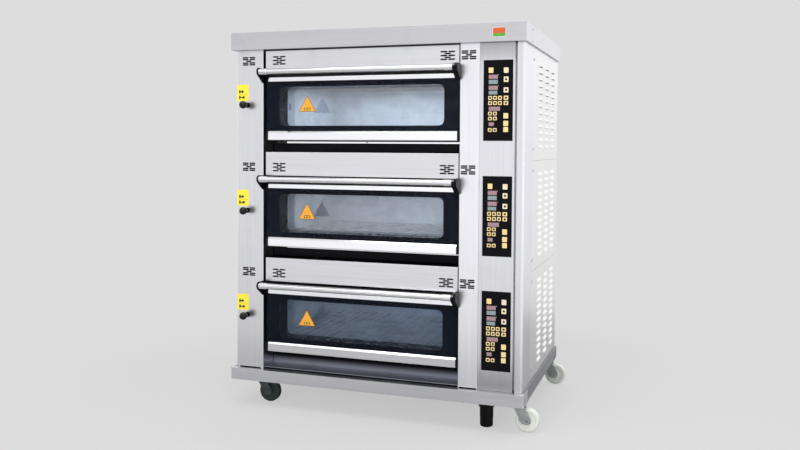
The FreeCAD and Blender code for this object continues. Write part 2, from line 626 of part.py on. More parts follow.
def make_handle(name, z):
    bar_left, bar_right = -517.0, 372.0
    ferrule = 38.0
    centre = (HANDLE_Y, z + HANDLE_Z)
    bar = tube(HANDLE_RADIUS, HANDLE_RADIUS - 2, (bar_left, *centre), (bar_right, *centre))
    ferrules = [tube(FERRULE_RADIUS, HANDLE_RADIUS, (x, *centre), (x + ferrule, *centre))
                for x in (bar_left, bar_right - ferrule)]
    save(name + "handle", bar.fuse(ferrules).removeSplitter())

    def side_plate(x0, x1, tail):
        """A cheek round the bar's end, tapering down and back to the door."""
        round_end = rod(BRACKET_RADIUS, (x0, *centre), (x1, *centre))
        web = plate_yz([(HANDLE_Y, z + HANDLE_Z + BRACKET_RADIUS), (tail, z + DOOR_TOP + 7, 4),
                        (tail, z + 308, 3), (tail - 8, z + 308, 3),
                        (HANDLE_Y - 11.5, z + HANDLE_Z - 14)], x0, x1)
        return round_end.fuse(web)

    left = side_plate(bar_left - 5, bar_left, 24)
    lug = plate_yz([(10, z + 318), (72, z + 322, 8), (72, z + 350, 8), (10, z + 356)],
                   bar_left - 5, bar_left)
    spacer = rod(10, (bar_left, 60, z + 336), (DOOR_LEFT, 60, z + 336))
    right = side_plate(bar_right, bar_right + 22, 26)
    stud = box(bar_right, bar_right + 12, 25, 26, z + CAP_BOTTOM + 2, z + DOOR_TOP - 2)
    save(name + "handle_brackets", left.fuse([lug, spacer]).removeSplitter(),
         right.fuse(stud).removeSplitter())


def make_hinge_pins():
    pins = []
    for deck in range(len(DECKS)):
        axis = (HINGE_Y, deck_floor(deck) + HINGE_Z)
        pins.append(rod(HINGE_PIN_RADIUS, (-530, *axis), (DOOR_LEFT + 11.5, *axis)))
        pins.append(rod(HINGE_PIN_RADIUS, (396, *axis), (DOOR_RIGHT - 11.5, *axis)))
    save("door_hinge_pins", *pins)


# ---- steam dampers --------------------------------------------------------------------------
def make_damper(deck):
    z = deck_floor(deck) + KNOB_Z
    name = DECKS[deck] + "_damper_"
    ball = Part.makeSphere(17.5, V(DAMPER_X, KNOB_Y, z))
    neck = rod(8, (DAMPER_X, KNOB_Y, z), (DAMPER_X, 16, z))
    knob = ball.fuse(neck).cut(rod(DAMPER_ROD_RADIUS, (DAMPER_X, KNOB_Y, z), (DAMPER_X, 20, z)))
    save(name + "knob", knob.removeSplitter())
    shaft = rod(DAMPER_ROD_RADIUS, (DAMPER_X, KNOB_Y, z), (DAMPER_X, 246, z))
    gate_face = CHAMBER_LEFT - LINER - 0.7
    arm = box(DAMPER_X - 7, gate_face - 1, PORT_Y - 2, PORT_Y + 1, z - 9, z + 9)
    gate = box(gate_face - 1.5, gate_face, PORT_Y - 25, PORT_Y + 25, z - 24, z + 24)
    save(name + "rod", shaft.fuse([arm, gate]).removeSplitter())


def make_damper_bushes():
    bushes = []
    for deck in range(len(DECKS)):
        z = deck_floor(deck) + KNOB_Z
        rosette = rod(12.5, (DAMPER_X, FRONT_Y - 5, z), (DAMPER_X, FRONT_Y, z))
        barrel = rod(BUSH_RADIUS, (DAMPER_X, FRONT_Y, z), (DAMPER_X, FRONT_Y + 16, z))
        bore = rod(DAMPER_ROD_RADIUS + RUNNING, (DAMPER_X, 20, z), (DAMPER_X, 50, z))
        bushes.append(rosette.fuse(barrel).cut(bore))
    save("damper_bushes", *bushes)


# ---- casters and foot -----------------------------------------------------------------------
CROWN_Z = 104.0             # underside of a fork's crown
CROWN = 4.0
RACE_GAP = 0.3


def make_caster_plates():
    """Top plates with the fixed race and the kingpin, which carries a head under the crown."""
    plates = []
    for _, x, y, _ in CASTERS:
        plate = box(x - 32, x + 32, y - 42, y + 42, BASE_Z - 4, BASE_Z)
        race = rod(22, (x, y, CROWN_Z + CROWN + RACE_GAP), (x, y, BASE_Z - 4))
        pin = rod(KINGPIN_RADIUS, (x, y, CROWN_Z - RACE_GAP), (x, y, BASE_Z - 4))
        head = rod(9, (x, y, CROWN_Z - RACE_GAP - 3), (x, y, CROWN_Z - RACE_GAP))
        plates.append(plate.fuse([race, pin, head]).removeSplitter())
    save("caster_plates", *plates)


def make_caster(name, x, y, side):
    axle_x = x + side * TRAIL
    cheek = 3.0
    inner = WHEEL_WIDTH / 2 + 3.5
    crown = rod(24, (x, y, CROWN_Z), (x, y, CROWN_Z + CROWN))
    crown = crown.fuse(box(x - 20, x + 20, y - inner - cheek, y + inner + cheek, CROWN_Z,
                           CROWN_Z + CROWN))
    cheeks = []
    for face in (y - inner - cheek, y + inner):
        outline = [(x - 21, CROWN_Z + CROWN), (x + 21, CROWN_Z + CROWN)]
        right_foot = (axle_x + 15, WHEEL_RADIUS + 4)
        left_foot = (axle_x - 15, WHEEL_RADIUS + 4)
        outline += [right_foot, (axle_x, WHEEL_RADIUS - 4), left_foot]
        web = plate_xz([(round(a, 4), b) for a, b in outline], face, face + cheek)
        boss = rod(16, (axle_x, face, WHEEL_RADIUS), (axle_x, face + cheek, WHEEL_RADIUS))
        cheeks.append(web.fuse(boss))
    fork = crown.fuse(cheeks)
    fork = fork.cut([rod(KINGPIN_RADIUS + RUNNING, (x, y, 90), (x, y, 112)),
                     rod(AXLE_RADIUS, (axle_x, y - 40, WHEEL_RADIUS),
                         (axle_x, y + 40, WHEEL_RADIUS))])
    ends = inner + cheek
    bolt = rod(AXLE_RADIUS, (axle_x, y - ends - 5, WHEEL_RADIUS), (axle_x, y + ends + 5,
                                                                WHEEL_RADIUS))
    for start, end in ((-ends - 4, -ends), (ends, ends + 4)):
        head = Part.makePolygon([V(axle_x + 7 * math.cos(math.radians(60 * i)), y + start,
                                   WHEEL_RADIUS + 7 * math.sin(math.radians(60 * i)))
                                 for i in range(7)])
        bolt = bolt.fuse(Part.Face(head).extrude(V(0, end - start, 0)))
    save(name + "_fork", fork.removeSplitter(), bolt.removeSplitter())

    half = WHEEL_WIDTH / 2
    bore = AXLE_RADIUS + RUNNING
    profile = [(bore, -half - 2.5), (15, -half - 2.5, 1), (17, -half + 4, 2),
               (33, -half + 4, 3), (37, -half, 2), (45, -half, 1),
               (WHEEL_RADIUS, -half + 6, 8), (WHEEL_RADIUS, half - 6, 8),
               (45, half, 1), (37, half, 2), (33, half - 4, 3), (17, half - 4, 2),
               (15, half + 2.5, 1), (bore, half + 2.5)]
    wire = rounded_wire(profile, lambda p: V(axle_x + p.x, y + p.y, WHEEL_RADIUS))
    wheel = Part.Face(wire).revolve(V(axle_x, y, WHEEL_RADIUS), V(0, 1, 0), 360)
    save(name + "_wheel", wheel)


def make_foot():
    top = BASE_Z
    x, y = FOOT_X, FOOT_Y
    bore = 27.5 + RUNNING
    sleeve = tube(35, bore, (x, y, top - 12), (x, y, top))
    sleeve = sleeve.fuse(tube(28.5, bore, (x, y, 46), (x, y, top - 12)))
    save("foot_sleeve", sleeve.removeSplitter())
    insert = rod(27.5, (x, y, 5), (x, y, 100))
    rim = [edge for edge in insert.Edges if abs(edge.BoundBox.ZMax - 5) < 0.01
           and edge.Length > 100]
    save("foot_insert", insert.makeFillet(9, rim))


os.makedirs("parts", exist_ok=True)
make_base()
make_fascia()
make_columns()
make_headers()
make_control_panels()
make_side_panels()
make_rear_panel()
make_screws()
for number in range(len(DECKS)):
    make_liner(number)
    make_door(number)
    make_damper(number)
make_hearths()
make_heaters()
make_lamps()
make_insulation()
make_hinge_pins()
make_damper_bushes()
make_caster_plates()
for caster in CASTERS:
    make_caster(*caster)
make_foot()
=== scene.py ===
import bpy
import json
import math
from mathutils import Matrix, Vector

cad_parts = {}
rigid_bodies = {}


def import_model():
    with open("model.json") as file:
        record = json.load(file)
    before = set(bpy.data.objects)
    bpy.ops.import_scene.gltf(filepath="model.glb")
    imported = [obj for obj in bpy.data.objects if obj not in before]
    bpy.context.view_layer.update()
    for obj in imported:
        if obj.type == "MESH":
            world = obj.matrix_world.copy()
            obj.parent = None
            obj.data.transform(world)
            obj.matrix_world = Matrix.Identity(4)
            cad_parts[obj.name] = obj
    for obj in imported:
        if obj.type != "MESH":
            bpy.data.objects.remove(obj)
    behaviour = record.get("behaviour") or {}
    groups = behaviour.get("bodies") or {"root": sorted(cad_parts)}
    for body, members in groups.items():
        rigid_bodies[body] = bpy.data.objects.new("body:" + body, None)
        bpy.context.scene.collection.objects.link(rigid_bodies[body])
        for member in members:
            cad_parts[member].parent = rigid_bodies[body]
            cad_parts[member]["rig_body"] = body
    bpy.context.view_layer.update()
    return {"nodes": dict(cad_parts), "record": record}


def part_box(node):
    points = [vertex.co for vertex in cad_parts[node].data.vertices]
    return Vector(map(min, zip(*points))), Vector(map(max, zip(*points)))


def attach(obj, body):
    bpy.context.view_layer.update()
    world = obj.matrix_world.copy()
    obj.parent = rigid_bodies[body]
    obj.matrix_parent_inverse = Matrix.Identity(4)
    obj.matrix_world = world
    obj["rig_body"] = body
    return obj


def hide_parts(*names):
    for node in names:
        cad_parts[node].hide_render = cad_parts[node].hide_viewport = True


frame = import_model()
NODES = frame["nodes"]
SLOT_OF = {part["node"]: part["material_slot"] for part in frame["record"]["subparts"]}
DECKS = ("lower", "middle", "upper")
CASTERS = ("front_right", "front_left", "rear_right", "rear_left")
# the left casters, whose nylon and zinc are near black as painted shade under the oven
SHADED_CASTERS = ("front_left", "rear_left")
MM = 0.001

DOOR_BOTTOM = 53 * MM           # a door's lower edge above its deck's recess floor
VENT_Z = 409 * MM               # the vents' middle above it
VENT_X = (-596.5 * MM, -445 * MM, 335 * MM, 426 * MM)
VENT_REACH = Vector((34 * MM, 0.2 * MM, 22 * MM))    # from a vent's middle to the corner of the black sheet behind it
VENTED = {"header_panels": (VENT_X[1:3], "LSLSL"), "left_column": (VENT_X[:1], "LLSLL"),
          "right_column": (VENT_X[3:], "LLSLL")}
FRONT_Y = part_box("header_panels")[0].y
SIDE_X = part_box("corner_post")[1].x


# ---- working in object and edit mode
def set_mode(mode):
    bpy.ops.object.mode_set(mode=mode)


def deselect():
    if bpy.context.mode != "OBJECT":
        set_mode("OBJECT")
    bpy.ops.object.select_all(action="DESELECT")


def pick(piece):
    deselect()
    piece.select_set(True)
    bpy.context.view_layer.objects.active = piece


def edit_all(piece):
    """Edit mode, with the whole mesh selected."""
    pick(piece)
    set_mode("EDIT")
    bpy.ops.mesh.select_all(action="SELECT")


def added(name):
    """The primitive that was added last, named, with its place put into its mesh."""
    piece = bpy.context.active_object
    piece.name = name
    pick(piece)
    bpy.ops.object.transform_apply(location=True, rotation=True, scale=True)
    return piece


def block(name, low, high):
    """A cuboid between two corners."""
    deselect()
    low, high = Vector(low), Vector(high)
    bpy.ops.mesh.primitive_cube_add(size=1, location=(low + high) / 2)
    bpy.context.active_object.scale = high - low
    return added(name)


def round_bar(name, start, end, radius, sides=48):
    """A solid bar between two points."""
    deselect()
    start, end = Vector(start), Vector(end)
    turn = (end - start).to_track_quat("Z", "Y").to_euler()
    bpy.ops.mesh.primitive_cylinder_add(vertices=sides, radius=radius, depth=(end - start).length,
                                        location=(start + end) / 2, rotation=turn)
    return added(name)


def clear_selection(piece, kind):
    """Object mode, with none of the piece's faces and edges selected."""
    pick(piece)
    set_mode("EDIT")
    bpy.ops.mesh.select_mode(type=kind)
    bpy.ops.mesh.select_all(action="DESELECT")
    set_mode("OBJECT")


def select_faces(piece, wanted):
    """Edit mode, with the faces selected whose centre and normal are wanted."""
    clear_selection(piece, "FACE")
    for face in piece.data.polygons:
        face.select = wanted(face.center, face.normal)
    set_mode("EDIT")


def select_edges(piece, wanted):
    """Edit mode, with the edges selected whose two ends are wanted."""
    clear_selection(piece, "EDGE")
    corners = piece.data.vertices
    for edge in piece.data.edges:
        edge.select = wanted(*(corners[i].co for i in edge.vertices))
    set_mode("EDIT")


def along(axis):
    """Picks the edges that run along an axis: 0 for X, 1 for Y, 2 for Z."""
    return lambda a, b: abs((a - b).normalized()[axis]) > 0.99


def bevel_edges(piece, wanted, width, segments=3):
    select_edges(piece, wanted)
    bpy.ops.mesh.bevel(offset=width, segments=segments, affect="EDGES")
    set_mode("OBJECT")


def apply_modifier(piece, kind, **settings):
    pick(piece)
    modifier = piece.modifiers.new(kind.lower(), kind)
    for key, value in settings.items():
        setattr(modifier, key, value)
    bpy.ops.object.modifier_apply(modifier=modifier.name)
    return piece


def apply_bevel(piece, width, segments=2, angle=40):
    """A small round on every edge sharper than the angle."""
    return apply_modifier(piece, "BEVEL", width=width, segments=segments, limit_method="ANGLE",
                          angle_limit=math.radians(angle))


def smooth(piece, angle=35):
    """Rounds are shaded smooth while the large faces between them stay flat."""
    pick(piece)
    bpy.ops.object.shade_smooth_by_angle(angle=math.radians(angle))
    return apply_modifier(piece, "WEIGHTED_NORMAL", keep_sharp=True, weight=100)


def cut(piece, cutter):
    apply_modifier(piece, "BOOLEAN", operation="DIFFERENCE", object=cutter)
    bpy.data.objects.remove(cutter)
    return piece


def join(name, pieces):
    deselect()
    for piece in pieces:
        piece.select_set(True)
    bpy.context.view_layer.objects.active = pieces[0]
    if len(pieces) > 1:
        bpy.ops.object.join()
    pieces[0].name = name
    return pieces[0]


def placed(name, data):
    """A new object in the scene."""
    thing = bpy.data.objects.new(name, data)
    bpy.context.scene.collection.objects.link(thing)
    return thing


def merged(node, name):
    """A copy of the node's shape in edit mode, with its triangles merged at their corners."""
    piece = placed(name, NODES[node].data.copy())
    edit_all(piece)
    bpy.ops.mesh.customdata_custom_splitnormals_clear()
    bpy.ops.mesh.remove_doubles(threshold=0.01 * MM)
    return piece


def refined(node, edge=0.0):
    """The node's own shape in whole faces, its edges rounded and its curves smooth."""
    piece = merged(node, node + "_finished")
    bpy.ops.mesh.dissolve_limited(angle_limit=math.radians(0.5))
    set_mode("OBJECT")
    if edge:
        apply_bevel(piece, edge)
    return smooth(piece)


def islands(node):
    """The box of each separate solid of a node, as (lowest corner, highest corner)."""
    merged(node, node + "_solids")
    bpy.ops.mesh.separate(type="LOOSE")
    set_mode("OBJECT")
    boxes = []
    for solid in list(bpy.context.selected_objects):
        axes = list(zip(*(vertex.co for vertex in solid.data.vertices)))
        boxes.append((Vector(map(min, axes)), Vector(map(max, axes))))
        bpy.data.objects.remove(solid)
    return sorted(boxes, key=lambda box: tuple(box[0]))


def deck_floor(deck):
    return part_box(deck + "_door_frame")[0].z - DOOR_BOTTOM


def finish(piece, body, slot, look=None, replaces=()):
    """Gives a piece its finish (its slot's own unless another look is named) and its body, and
    hides the CAD nodes that it stands for."""
    piece.data.materials.clear()
    piece.data.materials.append(FINISHES[look or slot])
    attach(piece, body)
    if replaces:
        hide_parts(*replaces)


# ---- node helpers
def feed(tree, node, inputs):
    """Each input is given a value, or the socket that feeds it."""
    for key, value in inputs.items():
        if isinstance(value, bpy.types.NodeSocket):
            tree.links.new(value, node.inputs[key])
        else:
            node.inputs[key].default_value = value


def add(tree, kind, inputs=None, **settings):
    node = tree.nodes.new(kind)
    for key, value in settings.items():
        setattr(node, key, value)
    feed(tree, node, inputs or {})
    return node


def math_node(tree, operation, a, b=0.0):
    return add(tree, "ShaderNodeMath", {0: a, 1: b}, operation=operation).outputs[0]


def times(tree, a, b):
    return math_node(tree, "MULTIPLY", a, b)


def ramp(tree, value, low, high, to_low=0.0, to_high=1.0, kind="SMOOTHSTEP"):
    """value from low to high, turned into to_low to to_high."""
    node = add(tree, "ShaderNodeMapRange", {"Value": value, "From Min": low, "From Max": high,
                                            "To Min": to_low, "To Max": to_high},
               interpolation_type=kind)
    return node.outputs["Result"]


def between(tree, mask, start, end):
    """start where the mask is 0, and end where it is 1."""
    return ramp(tree, mask, 0, 1, start, end, "LINEAR")


def parts_of(tree, vector):
    return add(tree, "ShaderNodeSeparateXYZ", {0: vector}).outputs


def noise(tree, place, scale, detail, **more):
    inputs = {"Vector": place, "Scale": scale, "Detail": detail, **more}
    return add(tree, "ShaderNodeTexNoise", inputs).outputs[0]


def blend_colour(tree, factor, a, b):
    """a where the factor is 0, and b where it is 1."""
    a, b = (colour if isinstance(colour, bpy.types.NodeSocket) else (*colour, 1)
            for colour in (a, b))
    return add(tree, "ShaderNodeMix", {0: factor, 6: a, 7: b}, data_type="RGBA").outputs[2]


def add_bump(tree, height, strength, depth, onto=None):
    """A bump with a depth in mm, on top of another one if there is any."""
    inputs = {"Height": height, "Strength": strength, "Distance": depth * MM}
    if onto is not None:
        inputs["Normal"] = onto
    return add(tree, "ShaderNodeBump", inputs).outputs[0]


def new_group(name, inputs, outputs):
    """A group with number inputs, or vector inputs where the value has three numbers."""
    group = bpy.data.node_groups.new(name, "ShaderNodeTree")
    for label, value in inputs.items():
        kind = "NodeSocketVector" if isinstance(value, tuple) else "NodeSocketFloat"
        socket = group.interface.new_socket(name=label, in_out="INPUT", socket_type=kind)
        socket.default_value = value
    for label in outputs:
        group.interface.new_socket(name=label, in_out="OUTPUT", socket_type="NodeSocketFloat")
    given, result = group.nodes.new("NodeGroupInput"), group.nodes.new("NodeGroupOutput")
    return group, given.outputs, result


def build_grain_group():
    """Brushed grain. Stretch is the grain's pitch per metre along each axis."""
    group, given, result = new_group("brushed grain", {"Position": (0, 0, 0),
                                                       "Stretch": (1, 60, 60)},
                                     ["Streak", "Fine"])
    scaled = add(group, "ShaderNodeVectorMath", {0: given["Position"], 1: given["Stretch"]},
                 operation="MULTIPLY").outputs[0]
    broad = noise(group, scaled, 1.0, 3.0, Roughness=0.6)
    fine = noise(group, scaled, 9.0, 4.0, Roughness=0.75)
    feed(group, result, {"Streak": ramp(group, broad, 0.3, 0.7),
                         "Fine": ramp(group, fine, 0.3, 0.7)})
    return group


def build_smear_group():
    """Fingerprints and wiped patches: a soft mask that covers the given share of the surface."""
    group, given, result = new_group("smears", {"Position": (0, 0, 0), "Size": 0.15,
                                                "Share": 0.4}, ["Mask"])
    scale = math_node(group, "DIVIDE", 1.0, given["Size"])
    cloud = noise(group, given["Position"], scale, 5.0, Roughness=0.62, Distortion=0.6)
    over = math_node(group, "SUBTRACT", cloud, between(group, given["Share"], 0.72, 0.28))
    feed(group, result, {"Mask": ramp(group, over, -0.04, 0.14)})
    return group


def build_wear_group():
    """Rubbed edges: rounds and corners, where the surface leaves the three main directions."""
    group, given, result = new_group("edge wear", {"Normal": (0, 0, 1), "Position": (0, 0, 0),
                                                   "Patchiness": 0.5}, ["Mask"])
    flat = [math_node(group, "ABSOLUTE", part) for part in parts_of(group, given["Normal"])]
    straight = math_node(group, "MAXIMUM", math_node(group, "MAXIMUM", flat[0], flat[1]), flat[2])
    rounded = ramp(group, straight, 0.995, 0.86)
    kept = ramp(group, noise(group, given["Position"], 95.0, 4.0), 0.3, 0.62)
    patchy = add(group, "ShaderNodeMix", {0: given["Patchiness"], 2: 1.0, 3: kept})
    feed(group, result, {"Mask": times(group, rounded, patchy.outputs[0])})
    return group


GRAIN = build_grain_group()
SMEARS = build_smear_group()
EDGE_WEAR = build_wear_group()
FINISHES = {}


def new_material(name, colour, metallic, roughness):
    """A finish under its name. Gives its node tree, its shader and the place on the piece."""
    material = bpy.data.materials.new(name)
    material.use_nodes = True
    FINISHES[name] = material
    tree = material.node_tree
    shader = tree.nodes["Principled BSDF"]
    feed(tree, shader, {"Base Color": (*colour, 1), "Metallic": metallic,
                        "Roughness": roughness})
    return tree, shader, add(tree, "ShaderNodeTexCoord").outputs["Object"]


def from_group(tree, group, inputs):
    node = add(tree, "ShaderNodeGroup", node_tree=group)
    feed(tree, node, inputs)
    return node.outputs


def grain(tree, place, stretch):
    """The broad streaks and the fine lines of a brushed grain."""
    return from_group(tree, GRAIN, {"Position": place, "Stretch": stretch})


def smears(tree, place, size, share):
    return from_group(tree, SMEARS, {"Position": place, "Size": size, "Share": share})[0]


def edge_wear(tree, place, patchiness):
    normal = add(tree, "ShaderNodeTexCoord").outputs["Normal"]
    return from_group(tree, EDGE_WEAR, {"Position": place, "Normal": normal,
                                        "Patchiness": patchiness})[0]


def shade(colour, factor):
    return tuple(min(channel * factor, 1.0) for channel in colour)


# ---- finishes
ALONG_X = (1.2, 70, 70)
ALONG_Y = (70, 1.2, 70)
ALONG_Z = (70, 70, 1.2)
STEEL = (0.74, 0.742, 0.768)
# colours of painted shade: grey for a sheet's shaded ends, black for the recesses
SHADE_GREY = (0.3, 0.3, 0.315)
SHADE_BLACK = (0.006, 0.006, 0.009)


def make_steel(name, colour, roughness, stretch, contrast=0.045, wave=0.25, smeared=0.3,
               shade_band=None, shaded_ends=()):
    """Brushed sheet. stretch is its grain's pitch on each axis, wave the sheet's unevenness in mm
    and smeared the share with fingerprints. shade_band is an axis and the two places on it between
    which painted shade turns the sheet black. shaded_ends lists pairs of heights between which
    painted shade turns it greyer."""
    tree, shader, place = new_material(name, colour, 1.0, roughness)
    streaks, fine = grain(tree, place, stretch)
    touched = smears(tree, place, 0.22, smeared)
    base = blend_colour(tree, streaks, shade(colour, 1 - contrast), shade(colour, 1 + contrast / 2))
    base = blend_colour(tree, times(tree, touched, 0.35), base, shade(colour, 0.86))
    base = blend_colour(tree, times(tree, edge_wear(tree, place, 0.3), 0.7), base,
                        shade(colour, 1.25))
    rough = between(tree, fine, roughness * 0.93, roughness * 1.07)
    axes = parts_of(tree, place)
    # painted shade: between each pair of heights the sheet turns greyer
    for start, end in shaded_ends:
        base = blend_colour(tree, ramp(tree, axes[2], start, end, 0.0, 0.6), base, SHADE_GREY)
    # painted shade: along the band the sheet turns black and loses its shine
    if shade_band:
        axis, start, end = shade_band
        shade_mask = ramp(tree, axes[axis], start, end)
        base = blend_colour(tree, shade_mask, base, SHADE_BLACK)
        rough = math_node(tree, "MAXIMUM", rough, times(tree, shade_mask, 0.9))
        feed(tree, shader, {"Metallic": math_node(tree, "SUBTRACT", 1.0, shade_mask),
                            "Specular IOR Level": 0.0})
    uneven = add_bump(tree, noise(tree, place, 2.6, 1.0), 1.0, wave)
    feed(tree, shader, {"Base Color": base,
                        "Roughness": math_node(tree, "ADD", rough, times(tree, touched, 0.07)),
                        "Normal": add_bump(tree, fine, 0.12, 0.02, uneven)})


def make_moulded(name, colour, roughness, grit=0.03, dust=0.2, worn=(0.2, 0.2, 0.2), shine=0.5):
    """Moulded plastic or paint: fine grit, dust in patches, and rubbed edges."""
    tree, shader, place = new_material(name, colour, 0.0, roughness)
    dusty = smears(tree, place, 0.05, 0.45)
    base = blend_colour(tree, times(tree, dusty, dust), colour,
                        shade(tuple(channel + 0.06 for channel in colour), 1.1))
    base = blend_colour(tree, times(tree, edge_wear(tree, place, 0.9), 0.25), base, worn)
    feed(tree, shader, {"Base Color": base, "Specular IOR Level": shine,
                        "Roughness": between(tree, dusty, roughness, roughness + 0.12),
                        "Normal": add_bump(tree, noise(tree, place, 900.0, 3.0), 0.5, grit)})


def make_zinc(name, colour, roughness):
    """Zinc-plated pressings, with the plating's flakes."""
    tree, shader, place = new_material(name, colour, 1.0, roughness)
    flakes = add(tree, "ShaderNodeTexVoronoi", {"Vector": place, "Scale": 240.0})
    tone = add(tree, "ShaderNodeSeparateColor", {0: flakes.outputs["Color"]}).outputs[0]
    base = blend_colour(tree, tone, shade(colour, 0.82), shade(colour, 1.12))
    base = blend_colour(tree, times(tree, smears(tree, place, 0.03, 0.5), 0.4), base,
                        (0.26, 0.27, 0.25))
    feed(tree, shader, {"Base Color": base, "Normal": add_bump(tree, tone, 0.2, 0.05),
                        "Roughness": between(tree, tone, roughness - 0.06, roughness + 0.08)})


def make_liner_steel():
    """Chamber sheets, blued by heat in clouds. The mouth frame in front is black, as painted shade
    in the recess under the door.
    """
    colour = (0.50, 0.55, 0.62)
    tree, shader, place = new_material("liner_steel", colour, 0.65, 0.42)
    clouds = smears(tree, place, 0.16, 0.55)
    streaks, fine = grain(tree, place, ALONG_X)
    base = blend_colour(tree, clouds, colour, (0.40, 0.44, 0.53))
    base = blend_colour(tree, times(tree, streaks, 0.25), base, (0.66, 0.70, 0.76))
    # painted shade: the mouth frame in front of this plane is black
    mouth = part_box("upper_chamber_liner")[0].y + 7 * MM
    within = ramp(tree, parts_of(tree, place)[1], mouth, mouth + 4 * MM)
    feed(tree, shader, {"Base Color": blend_colour(tree, within, SHADE_BLACK, base),
                        "Metallic": times(tree, within, 0.65), "Specular IOR Level": 0.1,
                        "Roughness": between(tree, clouds, 0.36, 0.5),
                        "Normal": add_bump(tree, fine, 0.3, 0.04)})


def make_hearth_steel():
    """Baked dark plate whose ridges are rubbed bright by the trays."""
    tree, shader, place = new_material("hearth_steel", (0.2, 0.23, 0.27), 0.8, 0.45)
    streaks = grain(tree, place, ALONG_Y)[0]
    baked = smears(tree, place, 0.09, 0.5)
    base = blend_colour(tree, streaks, (0.2, 0.23, 0.28), (0.25, 0.29, 0.35))
    base = blend_colour(tree, times(tree, baked, 0.5), base, (0.13, 0.11, 0.1))
    base = blend_colour(tree, edge_wear(tree, place, 0.5), base, (0.62, 0.68, 0.76))
    feed(tree, shader, {"Base Color": base, "Roughness": between(tree, baked, 0.34, 0.6)})


def make_wool():
    """Mineral wool slab: matted fibres that lie level, with darker clumps."""
    tree, shader, place = new_material("mineral_wool", (0.62, 0.52, 0.27), 0.0, 0.95)
    fibres, fine = grain(tree, place, (60, 60, 420))
    base = blend_colour(tree, fibres, (0.42, 0.34, 0.15), (0.72, 0.63, 0.36))
    base = blend_colour(tree, times(tree, smears(tree, place, 0.03, 0.5), 0.4), base,
                        (0.35, 0.27, 0.12))
    feed(tree, shader, {"Base Color": base, "Normal": add_bump(tree, fine, 0.8, 1.5)})


def make_glass(name, colour, roughness, transmission, smeared, ior):
    """A pane, wiped and a little smeared."""
    tree, shader, place = new_material(name, colour, 0.0, roughness)
    wiped = smears(tree, place, 0.12, smeared)
    feed(tree, shader, {"Base Color": blend_colour(tree, wiped, colour, shade(colour, 0.93)),
                        "Roughness": between(tree, wiped, roughness, roughness + 0.05),
                        "Transmission Weight": transmission, "IOR": ior})


def make_display(name, colour):
    """A dark filter window over unlit digits: dim bars on a fine grid."""
    tree, shader, place = new_material(name, colour, 0.0, 0.22)
    axes = parts_of(tree, place)
    lines = []
    for axis, pitch, start, end in ((0, 9.5, 0.36, 0.46), (2, 4.2, 0.3, 0.48)):
        cell = math_node(tree, "FRACT", times(tree, axes[axis], 1 / (pitch * MM)))
        away = math_node(tree, "ABSOLUTE", math_node(tree, "SUBTRACT", cell, 0.5))
        lines.append(ramp(tree, away, start, end))
    base = blend_colour(tree, times(tree, lines[0], 0.65), colour, shade(colour, 0.35))
    base = blend_colour(tree, times(tree, lines[1], 0.25), base, shade(colour, 1.35))
    feed(tree, shader, {"Base Color": base})


def make_print(name, colour, roughness=0.45):
    """Printed film with a slightly uneven ink."""
    tree, shader, place = new_material(name, colour, 0.0, roughness)
    ink = smears(tree, place, 0.012, 0.4)
    feed(tree, shader, {"Base Color": blend_colour(tree, times(tree, ink, 0.12), colour,
                                                   shade(colour, 0.6)),
                        "Roughness": between(tree, ink, roughness, roughness + 0.1)})


# where painted shade turns the sheets in the recesses black, and where painted shade greys the
# control column's ends
RECESS_SHADE = (1, FRONT_Y + 2 * MM, FRONT_Y + 12 * MM)
SILL_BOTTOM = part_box("recess_sill")[0].z
# painted shade on the sill: black up its upright, above its foot
SILL_SHADE = (2, SILL_BOTTOM - 8 * MM, SILL_BOTTOM + 40 * MM)
# painted shade and painted reflection: the control column greys towards its top under the fascia
# and towards its foot
COLUMN_LOW, COLUMN_HIGH = (corner.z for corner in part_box("control_column"))
COLUMN_SHADE_ENDS = ((COLUMN_HIGH - 120 * MM, COLUMN_HIGH - 10 * MM),
               (COLUMN_LOW + 150 * MM, COLUMN_LOW + 20 * MM))
BLACK = (0.003, 0.003, 0.0035)

make_steel("front_steel", STEEL, 0.3, ALONG_X)
# header sheets: painted shade turns their flanges in the recesses black
make_steel("header_steel", STEEL, 0.3, ALONG_X, shade_band=RECESS_SHADE)
# the sill: a darker copy of the steel as painted shade, turning black up its upright, also painted
# shade
make_steel("sill_steel_shaded", (0.46, 0.47, 0.55), 0.3, ALONG_X, shade_band=SILL_SHADE)
# the fascia: a darker copy of the front steel, as painted shade
make_steel("fascia_steel_shaded", shade(STEEL, 0.82), 0.3, ALONG_X)
make_steel("column_steel", STEEL, 0.3, ALONG_Z)
# the control column: painted shade greys its two ends
make_steel("control_steel", STEEL, 0.3, ALONG_Z, shaded_ends=COLUMN_SHADE_ENDS)
# the right column: a lighter copy of the front steel, as a painted highlight
make_steel("right_steel_lit", shade(STEEL, 1.16), 0.3, ALONG_Z)
make_steel("top_steel", STEEL, 0.36, ALONG_X, smeared=0.5)
make_steel("side_sheet", (0.78, 0.78, 0.77), 0.34, ALONG_Z, 0.03, 0.2, 0.2)
make_steel("bright_trim", (0.87, 0.87, 0.90), 0.1, ALONG_X, 0.03, 0.0, 0.15)
make_steel("frame_steel", (0.34, 0.34, 0.36), 0.45, ALONG_Y, 0.12, 0.2, 0.5)
make_steel("rod_steel", (0.66, 0.66, 0.69), 0.2, ALONG_Y, 0.08, 0.0, 0.2)
make_steel("heater_steel", (0.2, 0.17, 0.15), 0.5, ALONG_Y, 0.3, 0.0, 0.6)
make_liner_steel()
make_hearth_steel()
make_wool()
make_zinc("zinc_steel", (0.5, 0.53, 0.52), 0.34)
make_zinc("zinc_bright", (0.72, 0.83, 0.87), 0.2)
